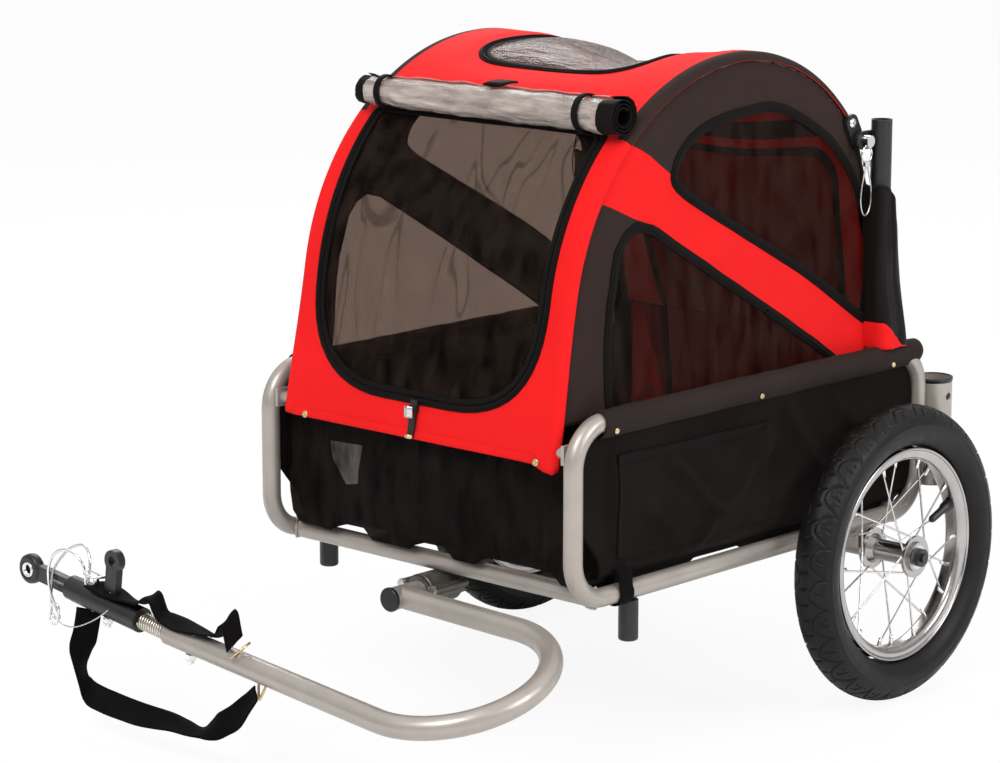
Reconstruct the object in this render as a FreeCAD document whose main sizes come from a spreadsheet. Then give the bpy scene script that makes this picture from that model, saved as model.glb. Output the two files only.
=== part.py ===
import FreeCAD, Part
import Sketcher
import math
import os
from types import SimpleNamespace

# Dog bike trailer: a tube chassis on two spoked wheels, a fabric cabin that folds, and a bent tow arm.
# Millimetres. The front faces -Y, the trailer's left side is +X and the ground is Z = 0.
# The origin lies on the ground, midway between the wheels, under the axle.

V = FreeCAD.Vector
X_AXIS = V(1, 0, 0)
Y_AXIS = V(0, 1, 0)
Z_AXIS = V(0, 0, 1)
SIDES = (("left", 1), ("right", -1))

SIZES = {
    # clearances
    "weld_gap": 0.3, "cloth_gap": 0.3, "running_gap": 0.05, "overrun": 20, "cloth_thickness": 2,
    # chassis loops and rails
    "tube_radius": 9.1, "loop_x": 200.5, "loop_front_y": -431, "loop_rear_y": 95, "loop_low_z": 173,
    "loop_high_z": 338.5, "loop_bend_radius": 40, "rail_setback": 33,
    # axle
    "axle_z": 150, "axle_tube_radius": 10, "axle_stub": 12.5, "axle_end_gap": 2.5, "axle_pin_radius": 6,
    "axle_pin_grip": 60, "axle_head_radius": 9, "axle_head_length": 5, "button_radius": 4.5,
    "button_length": 8, "button_proud": 3, "bracket_length": 28, "bracket_width": 24,
    "bracket_overlap": 8,
    # front feet
    "foot_radius": 9.5, "foot_bottom_z": 124.5, "foot_setback": 78, "foot_chamfer": 2.5,
    # bow pivots on the front posts
    "pivot_y": -424.5, "pivot_z": 312, "tab_thickness": 3.8, "tab_half": 9, "tab_boss_radius": 5.5,
    "pivot_bolt_radius": 3,
    "bolt_head_radius": 5, "bolt_head_length": 4, "post_head_radius": 7,
    # canopy bows
    "bow_x": 168.2, "bow_radius": 6, "bow_tail": 11, "arch_rise": 336.5,
    "front_arch_angle": 79.7, "rear_arch_angle": 50.5,
    # lugs and rear posts
    "lug_x": 177.2, "lug_thickness": 3.8, "lug_radius": 9, "lug_bolt_back": 7, "lug_head_length": 0.4,
    "post_x": 192.5, "post_set": 28, "post_radius": 10.5, "post_rise": 20, "post_bore": 8.6,
    "post_bore_depth": 60,
    "lock_pin_drop": 12.5, "lock_pin_set": 5.5, "tang_thickness": 4, "post_pivot_z": 362,
    "post_bolt_radius": 4, "lock_pin_radius": 4, "lock_head_radius": 6, "lock_head_length": 10,
    "ring_radius": 8, "ring_wire": 0.9, "ferrule_radius": 3.5, "ferrule_length": 5,
    "lanyard_radius": 0.8, "hinge_cheek": 3, "hinge_length": 24, "hinge_rise": 10,
    "hinge_seat_drop": 5.5,
    # handle sockets
    "socket_radius": 19.5, "socket_wall": 2, "socket_top_z": 304, "socket_length": 110,
    "socket_hole_radius": 4, "socket_hole_drop": 18,
    # tow arm receiver
    "receiver_wall": 4.2, "receiver_length": 44, "receiver_forward": 30, "receiver_split": 0.4,
    "knuckle_radius": 4.6, "knuckle_bore": 2.6, "knuckle_reach": 20, "knuckle_rise": 5.2,
    "receiver_bolt_radius": 2.5, "receiver_head_radius": 5, "receiver_head_length": 4,
    # tow arm
    "arm_radius": 11.1, "stub_front": 34, "stub_length": 85, "arm_branch": 20, "leg_length": 151,
    "arm_bend_radius": 91, "arm_bend_angle": 185.3, "arm_leg_length": 310, "arm_tilt": 15.9,
    "arm_droop": 1.3, "cap_radius": 11.8, "cap_length": 4,
    # hitch
    "hitch_rise_angle": 7.5, "spring_length": 40, "spring_seat": 1.6, "spring_radius": 8.6,
    "spring_wire_radius": 1.1, "spring_turns": 11, "housing_radius": 12.5, "housing_length": 97,
    "ear_back": 52, "ear_height": 47,
    "eye_radius": 11, "eye_hole_radius": 5, "fork_plate": 8, "fork_reach": 70, "fork_slot_width": 4,
    "fork_slot_length": 24, "fork_neck": 16, "hitch_pin_radius": 3, "hitch_pin_rise": 26,
    "hitch_pin_drop": 13, "hitch_pin_back": 27, "bail_radius": 12, "bail_wire": 1.4,
    # safety strap
    "strap_width": 25, "strap_thickness": 2, "strap_lean": 12, "strap_base_length": 205,
    "strap_low_z": 21, "strap_end_reach": 33, "strap_end_rise": 51, "strap_band_width": 22,
    "strap_band_inset": 0.8,
    # wheels
    "tyre_radius": 150, "tyre_section_radius": 22.5, "rim_lip_radius": 108.5,
    "rim_half_width": 12, "rim_lip_width": 2, "rim_well_radius": 101, "rim_well_half": 8.5,
    "rim_inner_radius": 95, "rim_inner_half": 5, "rim_side_radius": 103, "hub_inner_end": 33,
    "hub_outer_end": 28, "flange_radius": 21, "flange_width": 3, "barrel_radius": 10.5,
    "seat_radius": 12, "seat_depth": 6, "hub_boss_radius": 15, "hub_boss_length": 9,
    "hub_bore_radius": 8, "spoke_radius": 1, "spoke_circle": 17.5, "spoke_count": 20,
    "spoke_lead_angle": 62, "spoke_rim_offset": 2, "spoke_bury": 1.5,
    # tub
    "floor_thickness": 6, "tub_wall_set": 19, "tub_front_top_z": 314, "tub_gap_low": 4,
    "tub_corner_radius": 30, "tub_rear_y": 72, "sleeve_thickness": 2.1, "sleeve_front": 36,
    "sleeve_rear": 92,
    # canopy cloth
    "panel_x": 174.7, "hem_z": 298, "front_split_angle": 30, "roof_sag": 26, "roof_edge_width": 16,
    "side_bottom_z": 351, "rear_bottom_z": 352, "seam_gap": 2, "door_half_width": 147,
    "door_bottom_z": 336, "door_top_drop": 68, "door_low_radius": 92, "door_top_radius": 14,
    "sunroof_half_width": 118, "sunroof_front": 87, "sunroof_rear": 75, "sunroof_corner": 40,
    "slider_width": 9, "slider_height": 12, "slider_depth": 4, "pull_width": 8, "pull_height": 24,
    "pull_depth": 1.6, "roll_radius": 17.5, "roll_half_length": 168, "roll_shift": 8, "roll_angle": 40.5,
    "roll_strap": 2,
    "roll_strap_width": 9, "roll_strap_x": 130,
    # drawing fineness
    "lanyard_bottom_drop": 49, "lanyard_half_width": 9.5,
}
# Window corners as shares of the side panel's length (from its front) and height (from its bottom edge).
UPPER_WINDOW_SHARES = ((0.31, 0.62), (0.37, 0.75), (0.53, 0.80), (0.69, 0.755), (0.85, 0.56), (0.905, 0.33),
                       (0.92, 0.075))
LOWER_WINDOW_SHARES = ((0.115, 0.035), (0.13, 0.30), (0.16, 0.45), (0.215, 0.515), (0.27, 0.46),
                       (0.72, 0.035))
LANYARD_SHARES = ((0.13, 0), (0.55, 0.25), (0.9, 0.52), (0.92, 0.78), (0.45, 0.99), (-0.2, 1), (-0.78, 0.82),
                  (-0.95, 0.54), (-0.6, 0.24), (-0.16, 0))
# Arch radii as shares of the arch's rise above its pivot.
FRONT_ARCH_SHARE = 0.7287
REAR_ARCH_SHARE = 0.6425
WINDOW_CORNER_SHARE = 0.06
CORNER_SHARE = 0.45
SAG_FADE_SHARE = 0.55

doc = FreeCAD.newDocument("dog_bike_trailer")
sheet = doc.addObject("Spreadsheet::Sheet", "sizes")
for row, (alias, number) in enumerate(SIZES.items(), start=1):
    sheet.set("A%d" % row, alias)
    sheet.set("B%d" % row, str(number))
    sheet.setAlias("B%d" % row, alias)
doc.recompute()
mm = SimpleNamespace(**{alias: float(sheet.get(alias)) for alias in SIZES})
sub_parts = []


def cell(alias):
    """The expression that binds a property to a cell of the sheet."""
    return "sizes." + alias


def amount(terms):
    """The number that a sum such as 'rim_radius -rim_wall' stands for."""
    total = 0
    for term in terms.split():
        total += -getattr(mm, term[1:]) if term.startswith("-") else getattr(mm, term)
    return total


def formula(terms):
    """The same sum as an expression on the sheet."""
    signed = [("- ", term[1:]) if term.startswith("-") else ("+ ", term) for term in terms.split()]
    return " ".join(sign + cell(alias) for sign, alias in signed)


def keep(feature, label, placement=None):
    feature.Label = label
    if placement is not None:
        feature.Placement = placement
    sub_parts.append(feature)
    return feature


def code_part(label, shape, placement=None):
    """A sub-part whose shape is worked out here, from the sheet's sizes."""
    feature = doc.addObject("Part::Feature", label)
    feature.Shape = shape
    return keep(feature, label, placement)


def group(shapes):
    return Part.makeCompound(shapes)


def origin_plane(body, role):
    return [item for item in body.Origin.OriginFeatures if item.Role == role][0]


def profile_sketch(body, name, role, corners):
    """A closed outline whose corners are sums of sizes, each held by its own bound dimension."""
    sketch = body.newObject("Sketcher::SketchObject", name)
    sketch.AttachmentSupport = [(origin_plane(body, role), "")]
    sketch.MapMode = "FlatFace"
    points = [V(amount(u), amount(v), 0) for u, v in corners]
    last = len(points)
    for index in range(last):
        sketch.addGeometry(Part.LineSegment(points[index], points[(index + 1) % last]), False)
    constraint = Sketcher.Constraint
    for index in range(last):
        sketch.addConstraint(constraint("Coincident", index, 2, (index + 1) % last, 1))
    for index, (u, v) in enumerate(corners):
        for kind, terms in (("DistanceX", u), ("DistanceY", v)):
            if terms:
                held = sketch.addConstraint(constraint(kind, -1, 1, index, 1, amount(terms)))
                sketch.setExpression("Constraints[%d]" % held, formula(terms))
            else:
                sketch.addConstraint(constraint("PointOnObject", index, 1, -2 if kind == "DistanceX" else -1))
    return sketch


def turned_body(label, corners):
    """A body turned about its own X axis: corners are (along the axis, radius)."""
    body = doc.addObject("PartDesign::Body", label)
    sketch = profile_sketch(body, label + "_profile", "XY_Plane", corners)
    turn = body.newObject("PartDesign::Revolution", label + "_turn")
    turn.Profile = sketch
    turn.ReferenceAxis = (sketch, ["H_Axis"])
    turn.Angle = 360
    return body


def place_bound(feature, rotation, x_terms, y_terms, z_terms):
    """Turns a feature and binds its place to sums of sizes."""
    feature.Placement = FreeCAD.Placement(V(), rotation)
    for letter, terms in zip("xyz", (x_terms, y_terms, z_terms)):
        if terms:
            feature.setExpression("Placement.Base." + letter, formula(terms))


def rod(start, end, radius):
    way = end - start
    return Part.makeCylinder(radius, way.Length, start, way)


def box_between(low, high):
    return Part.makeBox(high.x - low.x, high.y - low.y, high.z - low.z, low)


def rounded_path(points, radii):
    """Straight runs joined by tangent arcs, one radius for each inner point."""
    edges = []
    start = points[0]
    for before, corner, after, radius in zip(points, points[1:], points[2:], radii):
        into = (before - corner).normalize()
        out = (after - corner).normalize()
        half = into.getAngle(out) / 2
        reach = radius / math.tan(half)
        first = corner + into * reach
        last = corner + out * reach
        middle_way = (into + out).normalize()
        middle = corner + middle_way * (radius / math.sin(half) - radius)
        if (first - start).Length > mm.running_gap:
            edges.append(Part.LineSegment(start, first).toShape())
        edges.append(Part.Arc(first, middle, last).toShape())
        start = last
    edges.append(Part.LineSegment(start, points[-1]).toShape())
    return Part.Wire(edges)


def swept_tube(path, radius):
    first = path.OrderedEdges[0]
    way = first.tangentAt(first.FirstParameter)
    ring = Part.Wire(Part.makeCircle(radius, first.valueAt(first.FirstParameter), way))
    return path.makePipeShell([ring], True, False)


def face_of(edges):
    return Part.Face(Part.Wire(Part.__sortEdges__(edges)))


def rounded_outline(points, radius):
    """A closed flat face with each corner rounded."""
    middle = (points[0] + points[-1]) * 0.5
    ring = [middle] + points + [middle]
    return Part.Face(rounded_path(ring, [radius] * len(points)))


def slab(face, way):
    return face.extrude(way)


# Chassis loops: one closed rounded rectangle of tube on each side.
def chassis_loop(x):
    middle_y = (mm.loop_front_y + mm.loop_rear_y) / 2
    halves = []
    for end_y in (mm.loop_front_y, mm.loop_rear_y):
        points = [V(x, middle_y, mm.loop_low_z), V(x, end_y, mm.loop_low_z), V(x, end_y, mm.loop_high_z),
                  V(x, middle_y, mm.loop_high_z)]
        halves.append(swept_tube(rounded_path(points, [mm.loop_bend_radius] * 2), mm.tube_radius))
    return halves[0].fuse(halves[1]).removeSplitter()


for side, sign in SIDES:
    code_part("loop_" + side, chassis_loop(sign * mm.loop_x))


# Front and rear rails: straight tubes between the loops.
front_rail_y = mm.loop_front_y + mm.rail_setback
rear_rail_y = mm.loop_rear_y - mm.rail_setback
rail_half = "%s - %s - %s" % (cell("loop_x"), cell("tube_radius"), cell("weld_gap"))
rails = []
RAIL_PLACES = (("front_rail", "loop_front_y rail_setback"), ("rear_rail", "loop_rear_y -rail_setback"))
for rail_name, y_terms in RAIL_PLACES:
    rail = doc.addObject("Part::Cylinder", rail_name)
    rail.setExpression("Radius", cell("tube_radius"))
    rail.setExpression("Height", "2 * (%s)" % rail_half)
    place_bound(rail, FreeCAD.Rotation(Y_AXIS, 90), "-loop_x tube_radius weld_gap", y_terms, "loop_low_z")
    rails.append(rail)
cross_rails = doc.addObject("Part::Compound", "cross_rails")
cross_rails.Links = rails
keep(cross_rails, "cross_rails")

# Axle tube, bored through for the two axle pins.
axle_outer = doc.addObject("Part::Cylinder", "axle_outside")
axle_outer.setExpression("Radius", cell("axle_tube_radius"))
axle_bore = doc.addObject("Part::Cylinder", "axle_bore")
axle_bore.setExpression("Radius", cell("axle_pin_radius") + " + " + cell("running_gap"))
for cylinder in (axle_outer, axle_bore):
    cylinder.setExpression("Height", "2 * (%s + %s)" % (cell("loop_x"), cell("axle_stub")))
    place_bound(cylinder, FreeCAD.Rotation(Y_AXIS, 90), "-loop_x -axle_stub", "", "axle_z")
axle_tube = doc.addObject("Part::Cut", "axle_tube")
axle_tube.Base = axle_outer
axle_tube.Tool = axle_bore
keep(axle_tube, "axle_tube")


# Axle brackets: saddle blocks between the bottom rails and the axle tube.
def axle_bracket(x):
    low_z = mm.axle_z + mm.axle_tube_radius - mm.bracket_overlap
    high_z = mm.loop_low_z - mm.tube_radius + mm.bracket_overlap
    half_width = mm.bracket_width / 2
    half_length = mm.bracket_length / 2
    block = box_between(V(x - half_width, -half_length, low_z), V(x + half_width, half_length, high_z))
    rail = rod(V(x, -mm.bracket_length, mm.loop_low_z), V(x, mm.bracket_length, mm.loop_low_z),
               mm.tube_radius + mm.weld_gap)
    axle = rod(V(x - mm.bracket_width, 0, mm.axle_z), V(x + mm.bracket_width, 0, mm.axle_z),
               mm.axle_tube_radius + mm.weld_gap)
    return block.cut(rail).cut(axle)


code_part("axle_brackets", group([axle_bracket(sign * mm.loop_x) for side, sign in SIDES]))


# Front feet: short plastic stops under the front corners.
def front_foot(x):
    top_z = mm.loop_low_z - mm.tube_radius - mm.weld_gap
    foot = Part.makeCylinder(mm.foot_radius, top_z - mm.foot_bottom_z, V(0, 0, mm.foot_bottom_z))
    low_edge = [edge for edge in foot.Edges if abs(edge.BoundBox.ZMax - mm.foot_bottom_z) < mm.running_gap]
    foot = foot.makeFillet(mm.foot_chamfer, low_edge)
    foot.translate(V(x, mm.loop_front_y + mm.foot_setback, 0))
    return foot


code_part("front_feet", group([front_foot(sign * mm.loop_x) for side, sign in SIDES]))


# Bow tabs: plates on the inner side of the front posts, each with the bow's pivot bolt.
tab_outer_x = mm.loop_x - mm.tube_radius - mm.weld_gap
tab_inner_x = tab_outer_x - mm.tab_thickness


def across(x_from, x_to, y, z, radius):
    return rod(V(x_from, y, z), V(x_to, y, z), radius)


def bow_tab(sign):
    plate = box_between(V(min(sign * tab_inner_x, sign * tab_outer_x), mm.pivot_y - mm.tab_half,
                          mm.pivot_z - mm.tab_half),
                        V(max(sign * tab_inner_x, sign * tab_outer_x), mm.pivot_y + mm.tab_half,
                          mm.pivot_z + mm.tab_half))
    boss_end = mm.bow_x + mm.bow_radius + mm.cloth_gap
    boss = across(sign * boss_end, sign * tab_outer_x, mm.pivot_y, mm.pivot_z, mm.tab_boss_radius)
    hole = across(0, sign * mm.loop_x, mm.pivot_y, mm.pivot_z, mm.pivot_bolt_radius + mm.running_gap)
    return plate.fuse(boss).cut(hole).removeSplitter()


code_part("bow_tabs", group([bow_tab(sign) for side, sign in SIDES]))
bow_inner_x = mm.bow_x - mm.bow_radius


def hex_head(center, way, radius, length):
    """A hexagon head that starts at center and runs along way."""
    corners = Part.makePolygon([V(radius * math.cos(math.radians(60 * turn)),
                                  radius * math.sin(math.radians(60 * turn)), 0) for turn in range(7)])
    head = Part.Face(corners).extrude(Z_AXIS * length)
    head.Placement = FreeCAD.Placement(center, FreeCAD.Rotation(Z_AXIS, way))
    return head


def pivot_bolt(sign):
    head_x = sign * (bow_inner_x - mm.cloth_gap - mm.bolt_head_length)
    shank = across(head_x, sign * tab_outer_x, mm.pivot_y, mm.pivot_z, mm.pivot_bolt_radius)
    head = hex_head(V(head_x, mm.pivot_y, mm.pivot_z), X_AXIS * sign, mm.bolt_head_radius,
                    mm.bolt_head_length)
    return shank.fuse(head)


# Canopy arch: a sloping front leg and two tangent arcs, followed by the bows and, offset, by the cloth.
arch_sweep = math.radians(mm.front_arch_angle)
rear_sweep = math.radians(mm.rear_arch_angle)
split_sweep = math.radians(mm.front_split_angle)
front_arch_radius = FRONT_ARCH_SHARE * mm.arch_rise
rear_arch_radius = REAR_ARCH_SHARE * mm.arch_rise
arch_top_z = mm.pivot_z + mm.arch_rise
leg_rise = mm.arch_rise - front_arch_radius + front_arch_radius * math.cos(arch_sweep)
arch_top_y = mm.pivot_y + leg_rise / math.tan(arch_sweep) + front_arch_radius * math.sin(arch_sweep)


def on_front_arch(offset, angle):
    reach = front_arch_radius + offset
    return V(0, arch_top_y - reach * math.sin(angle),
             arch_top_z - front_arch_radius + reach * math.cos(angle))


def on_rear_arch(offset, angle):
    reach = rear_arch_radius + offset
    return V(0, arch_top_y + reach * math.sin(angle),
             arch_top_z - rear_arch_radius + reach * math.cos(angle))


def front_leg_at(offset, z):
    start = on_front_arch(offset, arch_sweep)
    drop = start.z - z
    return V(0, start.y - drop / math.tan(arch_sweep), z)


def arc_between(place, offset, angle_from, angle_to):
    return Part.Arc(place(offset, angle_from), place(offset, (angle_from + angle_to) / 2),
                    place(offset, angle_to)).toShape()


# The bows' rear ends set the places of the lugs, the lock pins and the rear posts.
bow_end = on_rear_arch(0, rear_sweep)
post_y = bow_end.y + mm.post_set
lock_pin_y = bow_end.y + mm.lock_pin_set
lock_pin_z = bow_end.z - mm.lock_pin_drop
post_top_z = lock_pin_z + mm.post_rise


# Post hinges: forks on the top rails that carry the rear posts.
fork_half = mm.post_radius + mm.cloth_gap


def post_hinge(sign):
    center_x = sign * mm.post_x
    outer = fork_half + mm.hinge_cheek
    half_length = mm.hinge_length / 2
    low_z = mm.loop_high_z + mm.hinge_seat_drop
    seat_z = mm.post_pivot_z - mm.post_radius - mm.weld_gap
    high_z = mm.post_pivot_z + mm.hinge_rise
    block = box_between(V(center_x - outer, post_y - half_length, low_z),
                        V(center_x + outer, post_y + half_length, high_z))
    gap = box_between(V(center_x - fork_half, post_y - mm.hinge_length, seat_z),
                      V(center_x + fork_half, post_y + mm.hinge_length, high_z + mm.overrun))
    rail = rod(V(sign * mm.loop_x, post_y - mm.hinge_length, mm.loop_high_z),
               V(sign * mm.loop_x, post_y + mm.hinge_length, mm.loop_high_z), mm.tube_radius + mm.weld_gap)
    hole = across(0, center_x + sign * (outer + mm.overrun), post_y, mm.post_pivot_z,
                  mm.post_bolt_radius + mm.running_gap)
    return block.cut(gap).cut(rail).cut(hole)


code_part("post_hinges", group([post_hinge(sign) for side, sign in SIDES]))


def post_bolt(sign):
    inner = sign * (mm.post_x - fork_half - mm.hinge_cheek + mm.cloth_gap)
    outer = sign * (mm.post_x + fork_half + mm.hinge_cheek + mm.cloth_gap)
    shank = across(inner, outer, post_y, mm.post_pivot_z, mm.post_bolt_radius)
    head = hex_head(V(outer, post_y, mm.post_pivot_z), X_AXIS * sign, mm.post_head_radius,
                    mm.bolt_head_length)
    return shank.fuse(head)


frame_bolts = [pivot_bolt(sign) for side, sign in SIDES] + [post_bolt(sign) for side, sign in SIDES]
code_part("frame_bolts", group(frame_bolts))


# Handle sockets: open tubes welded behind the rear posts, each with a cross hole for a pin.
def handle_socket(sign):
    y = mm.loop_rear_y + mm.tube_radius + mm.weld_gap + mm.socket_radius
    foot = V(sign * mm.loop_x, y, mm.socket_top_z - mm.socket_length)
    tube = Part.makeCylinder(mm.socket_radius, mm.socket_length, foot)
    bore = Part.makeCylinder(mm.socket_radius - mm.socket_wall, mm.socket_length, foot)
    hole_z = mm.socket_top_z - mm.socket_hole_drop
    hole = across(sign * mm.loop_x, sign * (mm.loop_x + mm.socket_radius + mm.overrun), y, hole_z,
                  mm.socket_hole_radius)
    return tube.cut(bore).cut(hole)


code_part("handle_sockets", group([handle_socket(sign) for side, sign in SIDES]))

# Receiver under the front rail: a half-round saddle with rolled knuckles, and a keeper below.
receiver_bore = mm.arm_radius + mm.running_gap
receiver_outer = receiver_bore + mm.receiver_wall
stub_z = mm.loop_low_z - mm.tube_radius - mm.weld_gap - receiver_outer
receiver_front_y = front_rail_y - mm.receiver_forward
receiver_rear_y = receiver_front_y + mm.receiver_length


def along(y_from, y_to, x, z, radius):
    return rod(V(x, y_from, z), V(x, y_to, z), radius)


def receiver_half(upward):
    ring = along(receiver_front_y, receiver_rear_y, 0, stub_z, receiver_outer)
    ears = box_between(V(-mm.knuckle_reach, receiver_front_y, stub_z - mm.receiver_wall),
                       V(mm.knuckle_reach, receiver_rear_y, stub_z + mm.receiver_wall))
    both = ring.fuse(ears)
    keep_low = stub_z + mm.receiver_split / 2 if upward else stub_z - receiver_outer - mm.overrun
    keep_high = stub_z + receiver_outer + mm.overrun if upward else stub_z - mm.receiver_split / 2
    half = both.common(box_between(V(-mm.knuckle_reach * 2, receiver_front_y, keep_low),
                                   V(mm.knuckle_reach * 2, receiver_rear_y, keep_high)))
    if upward:
        for sign in (1, -1):
            half = half.fuse(along(receiver_front_y, receiver_rear_y, sign * mm.knuckle_reach,
                                   stub_z + mm.knuckle_rise, mm.knuckle_radius))
        for sign in (1, -1):
            half = half.cut(along(receiver_front_y, receiver_rear_y, sign * mm.knuckle_reach,
                                  stub_z + mm.knuckle_rise, mm.knuckle_bore))
    bore = along(receiver_front_y, receiver_rear_y, 0, stub_z, receiver_bore)
    return half.cut(bore).removeSplitter()


code_part("receiver_saddle", receiver_half(True))
code_part("receiver_keeper", receiver_half(False))


def receiver_bolt(sign):
    z = stub_z + mm.knuckle_rise
    shank = along(receiver_front_y, receiver_rear_y, sign * mm.knuckle_reach, z, mm.receiver_bolt_radius)
    head = hex_head(V(sign * mm.knuckle_reach, receiver_front_y, z), Y_AXIS * -1, mm.receiver_head_radius,
                    mm.receiver_head_length)
    return shank.fuse(head)


code_part("receiver_bolts", group([receiver_bolt(sign) for side, sign in SIDES]))

# Tow arm: a stub held in the receiver, and one tube bent back on itself in a plane that slopes to the front.
branch = V(0, mm.loop_front_y - mm.arm_branch, stub_z)
droop = math.radians(mm.arm_droop)
tilt = math.radians(mm.arm_tilt)
leg_way = V(math.cos(droop), 0, -math.sin(droop))
bend_way = V(0, -math.cos(tilt), -math.sin(tilt))
bend_way = (bend_way - leg_way * leg_way.dot(bend_way)).normalize()
bend_start = branch + leg_way * mm.leg_length
bend_center = bend_start + bend_way * mm.arm_bend_radius


def on_bend(angle):
    return bend_center + (leg_way * math.sin(angle) - bend_way * math.cos(angle)) * mm.arm_bend_radius


bend_angle = math.radians(mm.arm_bend_angle)
arm_way = leg_way * math.cos(bend_angle) + bend_way * math.sin(bend_angle)
bend_end = on_bend(bend_angle)
arm_end = bend_end + arm_way * mm.arm_leg_length
arm_path = Part.Wire([
    Part.LineSegment(branch, bend_start).toShape(),
    Part.Arc(bend_start, on_bend(bend_angle / 4), on_bend(bend_angle / 2)).toShape(),
    Part.Arc(on_bend(bend_angle / 2), on_bend(bend_angle * 3 / 4), bend_end).toShape(),
    Part.LineSegment(bend_end, arm_end).toShape(),
])
stub_front_y = mm.loop_front_y - mm.stub_front
stub = along(stub_front_y, stub_front_y + mm.stub_length, 0, stub_z, mm.arm_radius)
code_part("tow_arm", swept_tube(arm_path, mm.arm_radius).fuse(stub))
cap = along(stub_front_y - mm.weld_gap, stub_front_y - mm.weld_gap - mm.cap_length, 0, stub_z, mm.cap_radius)
code_part("arm_cap", cap.makeFillet(mm.cap_length / 2, [edge for edge in cap.Edges
                                                       if edge.BoundBox.YMax < stub_front_y - mm.cap_length]))

# Hitch frame: its X runs out along the hitch, its Z stands up across it.
rise = math.radians(mm.hitch_rise_angle)
hitch_way = V(-math.cos(rise), 0, math.sin(rise))
hitch_turn = FreeCAD.Rotation(hitch_way, V(0, -1, 0), V(math.sin(rise), 0, math.cos(rise)), "XYZ")
hitch_place = FreeCAD.Placement(arm_end, hitch_turn)
housing_start = mm.spring_length
housing_end = housing_start + mm.housing_length


# Hitch spring: one wire wound between the arm's end and the housing, as pairs of tangent arcs.
def bulged_arc(start, end, way):
    chord = end - start
    unit = V(chord).normalize()
    side_way = (way - unit * way.dot(unit)).normalize()
    height = chord.Length / 2 * math.tan(way.getAngle(unit) / 2)
    return Part.Arc(start, (start + end) * 0.5 + side_way * height, end).toShape()


def biarc(start, start_way, end, end_way):
    span = end - start
    both = start_way + end_way
    square = 2 * (1 - start_way.dot(end_way))
    linear = 2 * span.dot(both)
    reach = (-linear + math.sqrt(linear * linear + 4 * square * span.dot(span))) / (2 * square)
    joint = (start + start_way * reach + end - end_way * reach) * 0.5
    flat_way = (joint - start - start_way * reach).normalize()
    return [bulged_arc(start, joint, start_way), bulged_arc(joint, end, flat_way)]


def wound_spring():
    winding = mm.spring_radius - mm.spring_wire_radius
    first_x = mm.spring_seat + mm.spring_wire_radius
    last_x = mm.spring_length - mm.weld_gap - mm.spring_wire_radius
    climb = (last_x - first_x) / mm.spring_turns

    def on_coil(turn):
        angle = 2 * math.pi * turn
        place = V(first_x + climb * turn, winding * math.cos(angle), winding * math.sin(angle))
        way = V(climb / (2 * math.pi), -winding * math.sin(angle), winding * math.cos(angle)).normalize()
        return place, way

    edges = []
    steps = int(2 * mm.spring_turns)
    for step in range(steps):
        start, start_way = on_coil(step / 2)
        end, end_way = on_coil((step + 1) / 2)
        edges += biarc(start, start_way, end, end_way)
    print("spring gap to itself", round(climb - 2 * mm.spring_wire_radius, 2))
    return swept_tube(Part.Wire(edges), mm.spring_wire_radius)


code_part("hitch_spring", wound_spring(), hitch_place)


# Hitch housing: a round sleeve with one upright ear.
def hitch_housing():
    tube = rod(V(housing_start, 0, 0), V(housing_end, 0, 0), mm.housing_radius)
    ear_x = housing_end - mm.ear_back
    half_plate = mm.fork_plate / 2
    post = box_between(V(ear_x - mm.fork_neck / 2, -half_plate, 0),
                       V(ear_x + mm.fork_neck / 2, half_plate, mm.ear_height))
    eye = rod(V(ear_x, -half_plate, mm.ear_height), V(ear_x, half_plate, mm.ear_height), mm.eye_radius)
    hole = rod(V(ear_x, -mm.fork_plate, mm.ear_height), V(ear_x, mm.fork_plate, mm.ear_height),
               mm.eye_hole_radius)
    pin_x = housing_end - mm.hitch_pin_back
    pin_hole = rod(V(pin_x, 0, -mm.overrun), V(pin_x, 0, mm.overrun), mm.hitch_pin_radius + mm.running_gap)
    return tube.fuse(post).fuse(eye).cut(hole).cut(pin_hole).removeSplitter()


code_part("hitch_housing", hitch_housing(), hitch_place)


# Hitch fork: a slotted arm that runs on from the housing to its eye.
def hitch_fork():
    start = housing_end + mm.weld_gap
    eye_x = housing_end + mm.fork_reach
    half_plate = mm.fork_plate / 2
    half_neck = mm.fork_neck / 2
    root = rod(V(start, 0, 0), V(start + half_neck, 0, 0), mm.housing_radius - mm.weld_gap)
    arm = box_between(V(start, -half_plate, -half_neck), V(eye_x, half_plate, half_neck))
    eye = rod(V(eye_x, -half_plate, 0), V(eye_x, half_plate, 0), mm.eye_radius)
    hole = rod(V(eye_x, -mm.fork_plate, 0), V(eye_x, mm.fork_plate, 0), mm.eye_hole_radius)
    slot_start = start + mm.fork_neck
    slot = box_between(V(slot_start, -mm.fork_plate, -mm.fork_slot_width / 2),
                       V(slot_start + mm.fork_slot_length, mm.fork_plate, mm.fork_slot_width / 2))
    return root.fuse(arm).fuse(eye).cut(hole).cut(slot).removeSplitter()


code_part("hitch_fork", hitch_fork(), hitch_place)


# Hitch pin: an upright pin through the housing with a half-round wire bail on its head.
def hitch_pin():
    x = housing_end - mm.hitch_pin_back
    top = V(x, 0, mm.hitch_pin_rise)
    shank = rod(V(x, 0, -mm.hitch_pin_drop), top, mm.hitch_pin_radius)
    loop = Part.Wire([Part.Arc(top - X_AXIS * mm.bail_radius,
                               top + Y_AXIS * mm.bail_radius,
                               top + X_AXIS * mm.bail_radius).toShape()])
    bar = rod(top - X_AXIS * mm.bail_radius, top + X_AXIS * mm.bail_radius, mm.bail_wire)
    return shank.fuse(swept_tube(loop, mm.bail_wire)).fuse(bar)


code_part("hitch_pin", hitch_pin(), hitch_place)


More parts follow.
